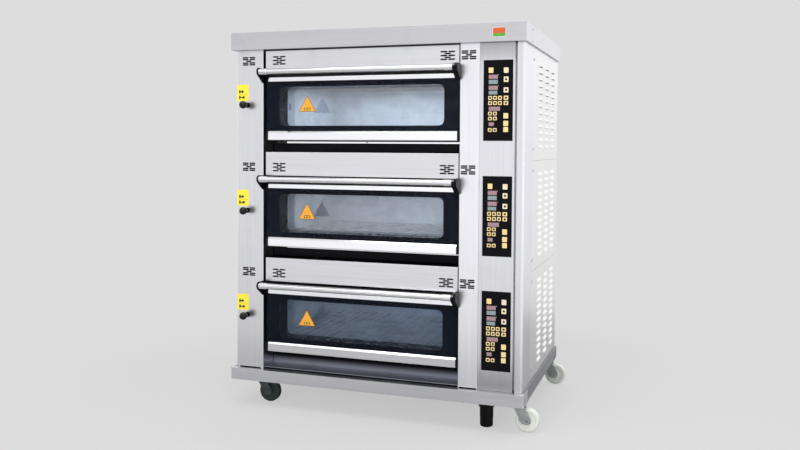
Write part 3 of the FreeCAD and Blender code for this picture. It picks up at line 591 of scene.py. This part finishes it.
# near-black zinc: painted shade
make_zinc("zinc_painted_shade", (0.085, 0.095, 0.1), 0.42)
make_moulded("black_enamel", (0.004, 0.0045, 0.007), 0.22, 0.01, 0.02, (0.03, 0.03, 0.035), 0.2)
make_moulded("black_plastic", BLACK, 0.36, 0.03, 0.02, (0.03, 0.03, 0.03), 0.12)
make_moulded("knob_plastic", BLACK, 0.14, 0.005, 0.02, (0.02, 0.02, 0.02), 0.35)
make_moulded("control_film", (0.004, 0.004, 0.0055), 0.24, 0.02, 0.02, (0.008, 0.008, 0.01), 0.06)
make_moulded("nylon", (0.80, 0.82, 0.77), 0.36, 0.03, 0.12, (0.6, 0.6, 0.55))
# near-black nylon: painted shade
make_moulded("nylon_painted_shade", (0.03, 0.038, 0.03), 0.5, 0.05, 0.2, (0.08, 0.09, 0.075), 0.25)
make_moulded("glass_print", (0.003, 0.004, 0.008), 0.3, 0.005, 0.01, (0.004, 0.005, 0.009), 0.05)
make_glass("outer_glass", (0.93, 0.95, 0.97), 0.01, 1.0, 0.35, 1.09)
make_glass("inner_glass", (0.76, 0.80, 0.84), 0.015, 0.95, 0.5, 1.85)
# the lower deck's inner pane: a darker, bluer copy of the inner glass, as painted shade
make_glass("inner_glass_shaded", (0.62, 0.72, 0.84), 0.015, 0.95, 0.5, 1.4)
make_glass("lamp_glass", (0.85, 0.88, 0.9), 0.15, 0.7, 0.3, 1.45)
make_display("display_red", (0.36, 0.22, 0.25))
make_display("display_green", (0.24, 0.31, 0.31))
make_print("key_gold", (0.86, 0.66, 0.30))
make_print("key_cream", (0.80, 0.70, 0.50))
make_print("yellow_print", (0.94, 0.77, 0.04))
make_print("orange_print", (0.84, 0.38, 0.03))
make_print("orange_dark", (0.12, 0.035, 0.006))
make_print("black_print", (0.012, 0.012, 0.014))
make_print("white_print", (0.75, 0.75, 0.75))
make_print("badge_red", (0.62, 0.10, 0.02), 0.25)
make_print("badge_green", (0.07, 0.36, 0.03), 0.25)

# the nodes whose look isn't their slot's own
LOOK_OF_NODE = {
    "top_fascia": "fascia_steel_shaded", "top_cover": "top_steel", "base_front_cover": "front_steel",
    "recess_sill": "sill_steel_shaded", "base_floor": "frame_steel", "header_panels": "header_steel",
    "left_column": "column_steel", "right_column": "right_steel_lit",
    "control_column": "control_steel", "corner_post": "column_steel",
}


# ---- camera, floor and light
CAMERA_PLACE = (1.2956, -3.8742, 1.1858)


def aim_camera():
    """A normal lens at chest height, in front of the right-hand corner."""
    yaw, pitch, roll = math.radians(18.658), math.radians(2.0), math.radians(0.324)
    forward = Vector((-math.sin(yaw) * math.cos(pitch), math.cos(yaw) * math.cos(pitch),
                      -math.sin(pitch)))
    level = Vector((math.cos(yaw), math.sin(yaw), 0))
    upward = level.cross(forward)
    right = level * math.cos(roll) + upward * math.sin(roll)
    up = upward * math.cos(roll) - level * math.sin(roll)
    camera = placed("camera", bpy.data.cameras.new("camera"))
    camera.data.sensor_width = 36
    camera.data.lens = 38.48
    camera.data.shift_y = -0.0615
    turn = Matrix((right, up, -forward)).transposed().to_4x4()
    camera.matrix_world = Matrix.Translation(CAMERA_PLACE) @ turn
    bpy.context.scene.camera = camera


def add_area_light(name, place, target, size, power, colour=(1, 1, 1)):
    data = bpy.data.lights.new(name, "AREA")
    data.shape = "RECTANGLE"
    data.size, data.size_y = size
    data.energy = power
    data.color = colour
    light = placed(name, data)
    light.location = place
    light.rotation_euler = (Vector(target) - Vector(place)).to_track_quat("-Z", "Y").to_euler()
    light.visible_camera = False
    return light


FLOOR_RADIUS = 2.4
PALE_GREY = (0.723, 0.723, 0.723, 1)
SHADOW_SHARE = 0.3             # how much of the floor's shadow shows beside the oven


def split_view(tree, room, seen, output):
    """Sends one shader to the rays of light, and another to the camera."""
    camera_ray = add(tree, "ShaderNodeLightPath").outputs["Is Camera Ray"]
    both = add(tree, "ShaderNodeMixShader", {0: camera_ray, 1: room.outputs[0],
                                             2: seen.outputs[0]})
    feed(tree, tree.nodes[output], {"Surface": both.outputs[0]})


def build_world():
    """Seen directly, an even pale grey. As light, a room that is brightest at eye level."""
    world = bpy.data.worlds.new("studio")
    bpy.context.scene.world = world
    world.use_nodes = True
    tree = world.node_tree
    x, y, z = parts_of(tree, add(tree, "ShaderNodeTexCoord").outputs["Generated"])
    low_wall = ramp(tree, z, -0.3, -0.1, 0.6, 1.2)
    high_wall = ramp(tree, z, -0.04, 0.34, 1.18, 0.83)
    left_wall = ramp(tree, x, -0.5, -0.15, -0.14, 0.06)
    behind = times(tree, ramp(tree, y, 0.3, 0.85), ramp(tree, z, -0.03, 0.12, -0.24, 0.08))
    walls = math_node(tree, "ADD", math_node(tree, "MINIMUM", low_wall, high_wall), behind)
    room = add(tree, "ShaderNodeBackground", {"Color": (0.98, 0.98, 1.0, 1),
                                              "Strength": math_node(tree, "ADD", walls, left_wall)})
    seen = tree.nodes["Background"]
    feed(tree, seen, {"Color": PALE_GREY, "Strength": 1.0})
    split_view(tree, room, seen, "World Output")


def make_floor_material():
    """Pale grey that runs out into the background, with a light shadow near the oven."""
    tree, shader, place = new_material("studio_grey", (0.42, 0.42, 0.42), 0.0, 0.9)
    lit = add(tree, "ShaderNodeBsdfDiffuse", {"Color": (0.62, 0.62, 0.62, 1)})
    pale = add(tree, "ShaderNodeEmission", {"Color": PALE_GREY, "Strength": 1.0})
    reach = add(tree, "ShaderNodeVectorMath", {0: place}, operation="LENGTH")
    share = ramp(tree, reach.outputs["Value"], FLOOR_RADIUS / 2, FLOOR_RADIUS - 0.05,
                 SHADOW_SHARE, 0.0)
    seen = add(tree, "ShaderNodeMixShader", {0: share, 1: pale.outputs[0], 2: lit.outputs[0]})
    split_view(tree, shader, seen, "Material Output")


def build_studio():
    deselect()
    bpy.ops.mesh.primitive_circle_add(vertices=96, radius=FLOOR_RADIUS, fill_type="NGON")
    floor = added("studio_floor")
    make_floor_material()
    floor.data.materials.append(FINISHES["studio_grey"])
    build_world()
    add_area_light("right_high", (3.0, 1.2, 3.6), (0.66, 0.1, 0.9), (2.2, 2.2), 30,
                   (1, 0.985, 0.95))
    front = add_area_light("front", (-0.5, -5.4, 1.9), (-0.1, -0.4, 0.9), (0.5, 0.5), 70)
    front.visible_glossy = False
    add_area_light("overhead", (0, -1.6, 4.2), (0, -0.3, 0.8), (3.0, 1.6), 45)
    add_area_light("front_high", (-1.0, -3.4, 4.3), (-0.1, -0.4, 1.1), (4.0, 1.4), 16)
    bpy.context.scene.view_settings.view_transform = "Standard"


CHAMBER_LIGHT = {"upper": (7.5, (0.98, 1, 1)), "middle": (2.2, (0.97, 0.99, 1)),
                 "lower": (0.6, (0.5, 0.72, 1))}


def light_chambers():
    """A soft lamp under each chamber's ceiling, so that the hearths show through the windows."""
    for deck, (power, colour) in CHAMBER_LIGHT.items():
        low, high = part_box(deck + "_door_inner_glass")
        centre = Vector(((low.x + high.x) / 2, 0.0, high.z + 8 * MM))
        lamp = add_area_light(deck + "_chamber_light", centre, centre - Vector((0, 0, 1)),
                              (0.7, 0.45), power, colour)
        lamp.visible_glossy = False
        lamp.visible_transmission = False


# ---- casing
ROW_PITCH = 8 * MM
SLOT_HEIGHT = 6.5              # in mm, like each slot's middle and width in a long or short row
ROWS = {"L": ((-17, 29.4), (17, 29.4)), "S": ((0, 27.4),)}


def open_vents(piece, places, rows):
    """Punches the vents clean: each row is two long slots, or one short slot in the middle."""
    slots = []
    for deck in DECKS:
        for x in places:
            for i, row in enumerate(rows):
                z = deck_floor(deck) + VENT_Z + (2 - i) * ROW_PITCH
                for shift, width in ROWS[row]:
                    slots.append(plate_on("slot", x + shift * MM, z, width, SLOT_HEIGHT,
                                          FRONT_Y + 5 * MM, 10 * MM, 3))
    smooth(cut(piece, join("slots", slots)))


def dress_casing():
    """The sheet-metal shells keep their folds and slots, with their edges rounded."""
    edges = {"top_fascia": 0.5, "top_cover": 0.4, "base_front_cover": 0.5, "base_frame": 0,
             "base_floor": 0.3, "recess_sill": 0.4, "left_column": 0, "right_column": 0,
             "control_column": 0.3, "corner_post": 0.3, "header_panels": 0, "side_panels": 0,
             "rear_panel": 0, "mains_gland": 0.5, "control_panels": 0.4, "hearth_plates": 0.4,
             "heating_elements": 0, "chamber_lamps": 0.4, "door_hinge_pins": 0.6,
             "damper_bushes": 0.8, "caster_plates": 0.5, "foot_sleeve": 0.6}
    for node, edge in edges.items():
        piece = refined(node, edge * MM)
        if node in VENTED:
            open_vents(piece, *VENTED[node])
        finish(piece, NODES[node]["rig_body"], SLOT_OF[node], LOOK_OF_NODE.get(node), [node])


def make_shade_sheets():
    """Black sheets just behind the vents and the louvres, as painted shade for the dark inside of
    the casing.
    """
    sheets = []
    for deck in DECKS:
        for x in VENT_X:
            middle = Vector((x, FRONT_Y + 1.5 * MM, deck_floor(deck) + VENT_Z))
            sheets.append(block("shade_sheet", middle - VENT_REACH, middle + VENT_REACH))
    low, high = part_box("side_panels")
    for side in (-1, 1):
        face, back = side * (SIDE_X - 1.4 * MM), side * (SIDE_X - 1.8 * MM)
        sheets.append(block("shade_sheet", (min(face, back), low.y + 25 * MM, low.z + 25 * MM),
                            (max(face, back), high.y - 25 * MM, high.z - 25 * MM)))
    low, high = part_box("rear_panel")
    sheets.append(block("shade_sheet", (low.x + 40 * MM, low.y - 1.2 * MM, low.z + 90 * MM),
                        (high.x - 40 * MM, low.y - 0.8 * MM, high.z - 25 * MM)))
    finish(join("vent_shade_sheets", sheets), "cabinet", "black_plastic")


def make_door_rest(deck):
    """The bright lip below a door, with its dark stop screw and the hinge's dark cover."""
    low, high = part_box(deck + "_door_trims")
    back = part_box(deck + "_chamber_liner")[0].y - 0.5 * MM
    front = back - 20 * MM
    bottom, top = low.z - 14 * MM, low.z - 4 * MM
    lip = block(deck + "_door_rest", (low.x + 55 * MM, front, bottom), (high.x, back, top))
    bevel_edges(lip, along(0), 1.5 * MM)
    finish(smooth(lip), "cabinet", "bright_trim")
    middle = Vector((low.x + 445 * MM, front, low.z - 9 * MM))
    stop = round_bar("stop", middle, middle - Vector((0, 2 * MM, 0)), 3 * MM, 24)
    cover = block("cover", (low.x + 2 * MM, front + 3 * MM, bottom + 1 * MM),
                  (low.x + 50 * MM, back, top - 2 * MM))
    bevel_edges(cover, along(0), 2 * MM)
    knuckles = [round_bar("knuckle", (low.x + start * MM, front + 8 * MM, top - 3 * MM),
                          (low.x + end * MM, front + 8 * MM, top - 3 * MM), 4.5 * MM, 24)
                for start, end in ((6, 18), (32, 44))]
    finish(smooth(apply_bevel(join(deck + "_rest_parts", [stop, cover] + knuckles), 0.5 * MM)),
           "cabinet", "heater_steel")


def model_screw():
    """A pan head screw on the plane x = 0, facing +X, with its cross recess."""
    radius, rise = 3.4 * MM, 2.0 * MM
    screw = round_bar("screw", (-0.2 * MM, 0, 0), (rise, 0, 0), radius, 28)
    bevel_edges(screw, lambda a, b: min(a.x, b.x) > rise - 0.01 * MM, 1.1 * MM, 4)
    for tall, wide in ((2.1, 0.4), (0.4, 2.1)):
        cut(screw, block("recess", (rise - 1.1 * MM, -wide * MM, -tall * MM),
                         (rise + 1 * MM, wide * MM, tall * MM)))
    return smooth(screw)


def place_screws():
    """Each modelled screw head takes the place of a plain one."""
    model = model_screw()
    heads = []
    for low, high in islands("casing_screws"):
        middle = (low + high) / 2
        right = middle.x > 0
        head = placed("screw", model.data.copy())
        turn = Matrix.Rotation(middle.z * 37, 4, "X")
        if not right:
            turn = Matrix.Rotation(math.pi, 4, "Z") @ turn
        head.data.transform(Matrix.Translation((low.x if right else high.x, middle.y, middle.z))
                            @ turn)
        heads.append(head)
    bpy.data.objects.remove(model)
    finish(join("casing_screw_heads", heads), "cabinet", "zinc_steel", replaces=["casing_screws"])


BADGE_X = (531 * MM, 587 * MM)
BADGE_Z = (1630 * MM, 1670 * MM)


def make_badge():
    """A plain two-colour enamel plate in a steel rim, in the fascia's corner."""
    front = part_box("top_fascia")[0].y
    low = Vector((BADGE_X[0], front - 1.6 * MM, BADGE_Z[0]))
    high = Vector((BADGE_X[1], front, BADGE_Z[1]))
    rim = block("badge_rim", low, high)
    bevel_edges(rim, along(1), 7 * MM, 6)
    select_faces(rim, lambda c, n: n.y < -0.99)
    bpy.ops.mesh.inset(thickness=2 * MM)
    bpy.ops.mesh.inset(thickness=0.3 * MM, depth=-0.6 * MM)
    set_mode("OBJECT")
    finish(smooth(rim), "cabinet", "bright_trim")
    split = low.z + 15 * MM
    for name, bottom, top in (("badge_green", low.z + 2.4 * MM, split),
                              ("badge_red", split, high.z - 2.4 * MM)):
        field = block(name, (low.x + 2.4 * MM, low.y + 0.3 * MM, bottom),
                      (high.x - 2.4 * MM, low.y + 1.2 * MM, top))
        outer = bottom if name == "badge_green" else top
        bevel_edges(field, lambda a, b: along(1)(a, b) and abs(a.z - outer) < 0.1 * MM,
                    4.6 * MM, 5)
        finish(smooth(field), "cabinet", "key_print", name)


def make_gland_nut():
    """The hexagon nut round the cable gland's mouth."""
    low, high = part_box("mains_gland")
    middle = (low + high) / 2
    nut = round_bar("gland_nut", (middle.x, high.y - 7 * MM, middle.z),
                    (middle.x, high.y - 0.5 * MM, middle.z), 21 * MM, 6)
    cut(nut, round_bar("hole", (middle.x, high.y - 9 * MM, middle.z),
                       (middle.x, high.y + 1 * MM, middle.z), 9.2 * MM))
    finish(smooth(apply_bevel(nut, 0.8 * MM)), "cabinet", "black_plastic")


# ---- control panels
# places on a panel, in mm from its lower left corner
LEFT_KEYS = (28.5, 49.0, 69.5)
RIGHT_KEY = 94.5
PLAIN, DOT = False, True
KEYS = [(LEFT_KEYS[0] + 3, 290, 20, 22, PLAIN), (RIGHT_KEY, 289, 20, 22, PLAIN),
        (RIGHT_KEY, 252, 20, 22, DOT), (RIGHT_KEY, 208.5, 20, 21, DOT),
        (RIGHT_KEY, 176.5, 19, 17, DOT), (RIGHT_KEY, 155.5, 19, 16, DOT),
        (RIGHT_KEY, 103, 20, 22, PLAIN), (RIGHT_KEY, 72, 20, 21, PLAIN),
        (RIGHT_KEY, 47, 20, 21, PLAIN)]
KEYS += [(x, z, 16, 16, DOT) for z in (176.5, 155.5) for x in LEFT_KEYS]
KEYS += [(x, z, 16, 15, DOT) for z in (112.5, 92.0, 45.0) for x in LEFT_KEYS[:2]]
CREAM_KEYS = (1, 2, 3)
# middle, width and height of each display window, and its colour
DISPLAYS = [(41, 263, 38, 17, "red"), (41, 242, 38, 17, "green"), (41, 218, 38, 17, "red"),
            (40, 198, 36, 15, "green"), (46.5, 132, 47, 17, "red"), (34, 69, 22, 15, "red")]
PILOTS = [(63, 271), (63, 226)]


def plate_on(name, x, z, width, height, y, rise, corner):
    """A raised plate with rounded corners and a softened face, facing -Y. Its width, height and
    corners are in mm."""
    half = Vector((width / 2, 0, height / 2)) * MM
    middle = Vector((x, y, z))
    plate = block(name, middle - half - Vector((0, rise, 0)), middle + half)
    bevel_edges(plate, along(1), corner * MM, 3)
    bevel_edges(plate, lambda a, b: max(a.y, b.y) < y - rise * 0.9, rise * 0.3, 1)
    return plate


def make_controls():
    for deck, (low, _) in zip(DECKS, sorted(islands("control_panels"), key=lambda b: b[0].z)):
        face = low.y
        caps = {"key_gold": [], "key_cream": []}
        dots = []
        for i, (x, z, width, height, dotted) in enumerate(KEYS):
            place = (low.x + x * MM, low.z + z * MM)
            cap = plate_on("key", *place, width, height, face, 1.0 * MM, 2.5)
            caps["key_cream" if i in CREAM_KEYS else "key_gold"].append(cap)
            if dotted:
                dots.append(plate_on("dot", *place, 8.5, 8.5, face - 1.0 * MM, 0.3 * MM, 2.2))
        for name, pieces in caps.items():
            finish(smooth(join(deck + "_" + name + "s", pieces)), "cabinet", "key_print", name)
        finish(smooth(join(deck + "_key_dots", dots)), "cabinet", "key_print", "black_print")
        windows = {"red": [], "green": []}
        for x, z, width, height, colour in DISPLAYS:
            windows[colour].append(plate_on("window", low.x + x * MM, low.z + z * MM, width,
                                            height, face, 0.6 * MM, 0.8))
        for colour, pieces in windows.items():
            finish(smooth(join(deck + "_" + colour + "_displays", pieces)), "cabinet",
                   "display_print", "display_" + colour)
        pilots = []
        for x, z in PILOTS:
            middle = Vector((low.x + x * MM, face, low.z + z * MM))
            pilots.append(round_bar("pilot", middle, middle - Vector((0, 0.6 * MM, 0)),
                                    1.3 * MM, 16))
        finish(smooth(apply_bevel(join(deck + "_pilot_lamps", pilots), 0.3 * MM)), "cabinet",
               "key_print", "white_print")


# ---- dampers
LABEL_WIDTH, LABEL_HEIGHT = 57, 73
LABEL_X, LABEL_Z = -51 * MM, 230.5 * MM     # the label's lower left corner, from knob and deck


def make_damper(deck):
    """The ball knob with its neck, and the yellow label above it with its push-pull marks."""
    low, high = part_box(deck + "_damper_knob")
    radius = (high.x - low.x) / 2
    centre = Vector(((low.x + high.x) / 2, low.y + radius, (low.z + high.z) / 2))
    deselect()
    bpy.ops.mesh.primitive_uv_sphere_add(segments=48, ring_count=32, radius=radius,
                                         location=centre, rotation=(math.pi / 2, 0, 0))
    knob = added(deck + "_knob_ball")
    select_faces(knob, lambda c, n: c.y - centre.y > radius * 0.86)
    bpy.ops.mesh.delete(type="FACE")
    set_mode("OBJECT")
    rim = max(vertex.co.y for vertex in knob.data.vertices)
    select_edges(knob, lambda a, b: min(a.y, b.y) > rim - 0.01 * MM)
    bpy.ops.mesh.extrude_region_move(TRANSFORM_OT_translate={"value": (0, high.y - rim, 0)})
    bpy.ops.mesh.fill()
    set_mode("OBJECT")
    finish(smooth(knob, 50), deck + "_damper", "knob_plastic", replaces=[deck + "_damper_knob"])
    node = deck + "_damper_rod"
    finish(refined(node, 0.4 * MM), deck + "_damper", "rod_steel", replaces=[node])

    left, bottom = centre.x + LABEL_X, deck_floor(deck) + LABEL_Z
    across, up = left + LABEL_WIDTH / 2 * MM, bottom + LABEL_HEIGHT / 2 * MM
    label = plate_on(deck + "_damper_label", across, up, LABEL_WIDTH, LABEL_HEIGHT, FRONT_Y,
                     0.4 * MM, 4)
    finish(smooth(label), "cabinet", "yellow_label", "yellow_print")
    face = FRONT_Y - 0.4 * MM
    marks = []
    for row, reach in ((42, 8), (16, 13)):
        z = bottom + row * MM
        marks.append(plate_on("base", left + 12 * MM, z, 7, 16, face, 0.1 * MM, 1))
        marks.append(plate_on("stem", left + (14 + reach / 2) * MM, z, reach, 4.5, face,
                              0.1 * MM, 0.5))
        marks.append(plate_on("ball", left + (18 + reach) * MM, z, 12, 12, face, 0.12 * MM, 5.4))
    marks.append(plate_on("rule", across, bottom + 29 * MM, 43, 0.8, face, 0.1 * MM, 0.2))
    finish(smooth(join(deck + "_damper_marks", marks)), "cabinet", "yellow_label", "black_print")


# ---- doors
def rounded_outline(name, low, high, corner, y):
    """A flat rounded rectangle on the plane y."""
    deselect()
    middle = Vector(((low.x + high.x) / 2, y, (low.z + high.z) / 2))
    bpy.ops.mesh.primitive_plane_add(size=1, location=middle, rotation=(math.pi / 2, 0, 0))
    bpy.context.active_object.scale = (high.x - low.x, high.z - low.z, 1)
    sheet = added(name)
    edit_all(sheet)
    bpy.ops.mesh.bevel(offset=corner, segments=8, affect="VERTICES")
    set_mode("OBJECT")
    return sheet


def make_glass_print(deck, low, high, window):
    """The black print behind the outer pane, open over the window."""
    y = high.y
    sheet = join(deck + "_door_glass_print",
                 [rounded_outline("edge", low, high, 3 * MM, y),
                  rounded_outline("window", *window, 24 * MM, y)])
    edit_all(sheet)
    bpy.ops.mesh.delete(type="ONLY_FACE")
    bpy.ops.mesh.select_all(action="SELECT")
    bpy.ops.mesh.fill()
    bpy.ops.mesh.normals_make_consistent(inside=False)
    set_mode("OBJECT")
    apply_modifier(sheet, "SOLIDIFY", thickness=0.5 * MM, offset=0)
    sheet.data.transform(Matrix.Translation((0, -0.3 * MM, 0)))
    finish(sheet, deck + "_door", "outer_glass", "glass_print")


STICKER_X, STICKER_Z = -307 * MM, 203.5 * MM
STICKER_LAYERS = (("border", 47.5, 0.25, "orange_dark"), ("field", 44.0, 0.35, "orange_print"))


def make_sticker(deck, pane_front):
    """A plain orange triangle with a dark edge, and a dark plate with two dots at its foot."""
    centre = Vector((STICKER_X, pane_front, deck_floor(deck) + STICKER_Z))
    for part, radius, rise, look in STICKER_LAYERS:
        deselect()
        bpy.ops.mesh.primitive_circle_add(vertices=3, radius=radius * MM, fill_type="NGON",
                                          location=centre, rotation=(math.pi / 2, 0, 0))
        sheet = added(deck + "_sticker_" + part)
        edit_all(sheet)
        bpy.ops.mesh.bevel(offset=2 * MM, segments=4, affect="VERTICES")
        bpy.ops.mesh.extrude_region_move(TRANSFORM_OT_translate={"value": (0, -rise * MM, 0)})
        bpy.ops.mesh.select_all(action="SELECT")
        bpy.ops.mesh.normals_make_consistent(inside=False)
        set_mode("OBJECT")
        finish(sheet, deck + "_door", "orange_label", look)
    face, z = pane_front - 0.35 * MM, centre.z - 12 * MM
    finish(plate_on(deck + "_sticker_plate", centre.x, z, 30, 11, face, 0.1 * MM, 4),
           deck + "_door", "orange_label", "orange_dark")
    dots = [plate_on("dot", centre.x + x * MM, z, 7, 7, face - 0.1 * MM, 0.1 * MM, 3.2)
            for x in (-6.5, 6.5)]
    finish(join(deck + "_sticker_dots", dots), deck + "_door", "orange_label", "yellow_print")


FERRULE = 38 * MM              # the length of a handle bar's thicker end


def make_handle(deck):
    """A polished tube with a thicker ferrule at each end, and a screw in the right cheek."""
    body = deck + "_door"
    low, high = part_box(deck + "_door_handle")
    ferrule_radius = (high.z - low.z) / 2
    bar_radius = ferrule_radius - 2 * MM
    y, z = (low.y + high.y) / 2, (low.z + high.z) / 2
    parts = [round_bar("bar", (low.x, y, z), (high.x, y, z), bar_radius, 64)]
    for x in (low.x, high.x - FERRULE):
        ferrule = round_bar("ferrule", (x, y, z), (x + FERRULE, y, z), ferrule_radius, 64)
        parts.append(apply_bevel(ferrule, 1.2 * MM, 3, 60))
    finish(smooth(join(deck + "_handle_bar", parts)), body, "bright_trim",
           replaces=[deck + "_door_handle"])
    node = deck + "_door_handle_brackets"
    finish(refined(node, 1.2 * MM), body, "black_plastic", replaces=[node])
    cap_way = Vector((0, -math.cos(math.radians(35)), math.sin(math.radians(35))))
    seat = Vector((high.x + 6 * MM, y, z)) + cap_way * 17 * MM
    cap = round_bar(deck + "_handle_screw", seat, seat + cap_way * 1.6 * MM, 4.2 * MM, 24)
    select_faces(cap, lambda c, n: n.dot(cap_way) > 0.99)
    bpy.ops.mesh.inset(thickness=1.3 * MM)
    bpy.ops.mesh.inset(thickness=0.2 * MM, depth=-0.8 * MM)
    set_mode("OBJECT")
    finish(smooth(apply_bevel(cap, 0.3 * MM)), body, "zinc_steel")


def make_door(deck):
    body = deck + "_door"
    low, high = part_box(deck + "_door_outer_glass")
    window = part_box(deck + "_door_inner_glass")
    pane = block(deck + "_door_pane", low, high - Vector((0, 0.6 * MM, 0)))
    bevel_edges(pane, along(1), 3 * MM, 4)
    apply_bevel(pane, 0.4 * MM)
    pane.visible_shadow = False
    finish(smooth(pane), body, "outer_glass", replaces=[deck + "_door_outer_glass"])
    make_glass_print(deck, low, high, window)
    inner = refined(deck + "_door_inner_glass")
    inner.visible_shadow = False
    # painted shade: the lower deck's pane takes the darker, bluer copy of the glass
    look = "inner_glass_shaded" if deck == "lower" else "inner_glass"
    finish(inner, body, "inner_glass", look, [deck + "_door_inner_glass"])
    for part, edge in (("frame", 0.5), ("trims", 0.6)):
        node = deck + "_door_" + part
        finish(refined(node, edge * MM), body, SLOT_OF[node], replaces=[node])
    make_sticker(deck, low.y)
    make_handle(deck)


# ---- casters and foot
def make_cheeks(name, axle):
    """The broad pressed cheeks outside the wheel, round below the axle, and their washers."""
    radius = 24 * MM
    low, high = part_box(name + "_fork")
    side = 1 if axle.x > (low.x + high.x) / 2 else -1
    swivel_x = low.x + radius if side > 0 else high.x - radius
    centre = axle + Vector((-side * 8 * MM, 0, 9 * MM))
    top = high.z - 1 * MM
    cheeks, washers = [], []
    for way in (-1, 1):
        inner, outer = axle.y + way * 21 * MM, axle.y + way * 24.2 * MM
        cheek = round_bar("cheek", (centre.x, inner, centre.z), (centre.x, outer, centre.z),
                          radius)
        select_edges(cheek, lambda a, b: min(a.z, b.z) > centre.z + 0.1 * MM)
        bpy.ops.transform.resize(value=(0.9, 1, 0), center_override=(centre.x, inner, top))
        bpy.ops.transform.translate(value=(swivel_x - centre.x, 0, 0))
        set_mode("OBJECT")
        cheeks.append(smooth(apply_bevel(cheek, 0.7 * MM)))
        washers.append(round_bar("washer", (axle.x, outer, axle.z),
                                 (axle.x, outer + way * 1.3 * MM, axle.z), 9.5 * MM, 40))
    return cheeks, washers


def make_caster(name):
    """The nylon wheel, dished on both sides, with its pressed fork."""
    low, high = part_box(name + "_wheel")
    middle = (low + high) / 2
    half = (high.y - low.y) / 2 - 2.5 * MM
    radius = (high.z - low.z) / 2
    wheel = round_bar(name + "_wheel_rim", (middle.x, middle.y - half, middle.z),
                      (middle.x, middle.y + half, middle.z), radius, 72)
    bevel_edges(wheel, lambda a, b: abs(a.y - b.y) < 0.01 * MM, 7 * MM, 5)
    select_faces(wheel, lambda c, n: abs(n.y) > 0.99)
    bpy.ops.mesh.inset(thickness=6 * MM)
    bpy.ops.mesh.inset(thickness=3 * MM, depth=-4 * MM)
    bpy.ops.mesh.inset(thickness=15 * MM)
    bpy.ops.mesh.inset(thickness=3 * MM, depth=6.4 * MM)
    set_mode("OBJECT")
    apply_bevel(wheel, 0.8 * MM)
    # painted shade: the left casters take the near-black nylon and zinc
    nylon, zinc, washer_look = (("nylon_painted_shade", "zinc_painted_shade", "zinc_painted_shade") if name in SHADED_CASTERS
                                else ("nylon", "zinc_steel", "zinc_bright"))
    finish(smooth(wheel), name + "_wheel", "nylon", nylon, [name + "_wheel"])
    node = name + "_fork"
    cheeks, washers = make_cheeks(name, middle)
    finish(join(node + "_dressed", [refined(node, 0.7 * MM)] + cheeks), name + "_swivel",
           "zinc_steel", zinc, [node])
    finish(smooth(apply_bevel(join(name + "_axle_washers", washers), 0.4 * MM)),
           name + "_swivel", "zinc_steel", washer_look)


def make_foot():
    """The black pad, and the collar that it slides in."""
    low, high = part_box("foot_insert")
    middle = (low + high) / 2
    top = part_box("foot_sleeve")[1].z - 11 * MM
    collar = round_bar("foot_collar", (middle.x, middle.y, top - 18 * MM),
                       (middle.x, middle.y, top), 34 * MM, 64)
    bevel_edges(collar, lambda a, b: max(a.z, b.z) < top - 17 * MM, 3 * MM, 4)
    cut(collar, round_bar("bore", middle - Vector((0, 0, 0.1)), middle + Vector((0, 0, 0.1)),
                          28.2 * MM, 64))
    finish(smooth(collar), "cabinet", "black_plastic")
    foot = round_bar("foot_pad", (middle.x, middle.y, low.z), (middle.x, middle.y, high.z),
                     (high.x - low.x) / 2, 64)
    bevel_edges(foot, lambda a, b: max(a.z, b.z) < low.z + 0.01 * MM, 9 * MM, 6)
    finish(smooth(foot), "parking_foot", "black_plastic", replaces=["foot_insert"])


def dress_hidden_nodes():
    """What stays as it was cut: the chamber sheets and the wool round them."""
    for node in [deck + "_chamber_liner" for deck in DECKS] + ["insulation"]:
        NODES[node].data.materials.clear()
        NODES[node].data.materials.append(FINISHES[SLOT_OF[node]])


# ---- the oven
aim_camera()
build_studio()
light_chambers()
dress_casing()
make_shade_sheets()
place_screws()
make_badge()
make_gland_nut()
make_controls()
for deck_name in DECKS:
    make_damper(deck_name)
    make_door_rest(deck_name)
    make_door(deck_name)
for caster_name in CASTERS:
    make_caster(caster_name)
make_foot()
dress_hidden_nodes()
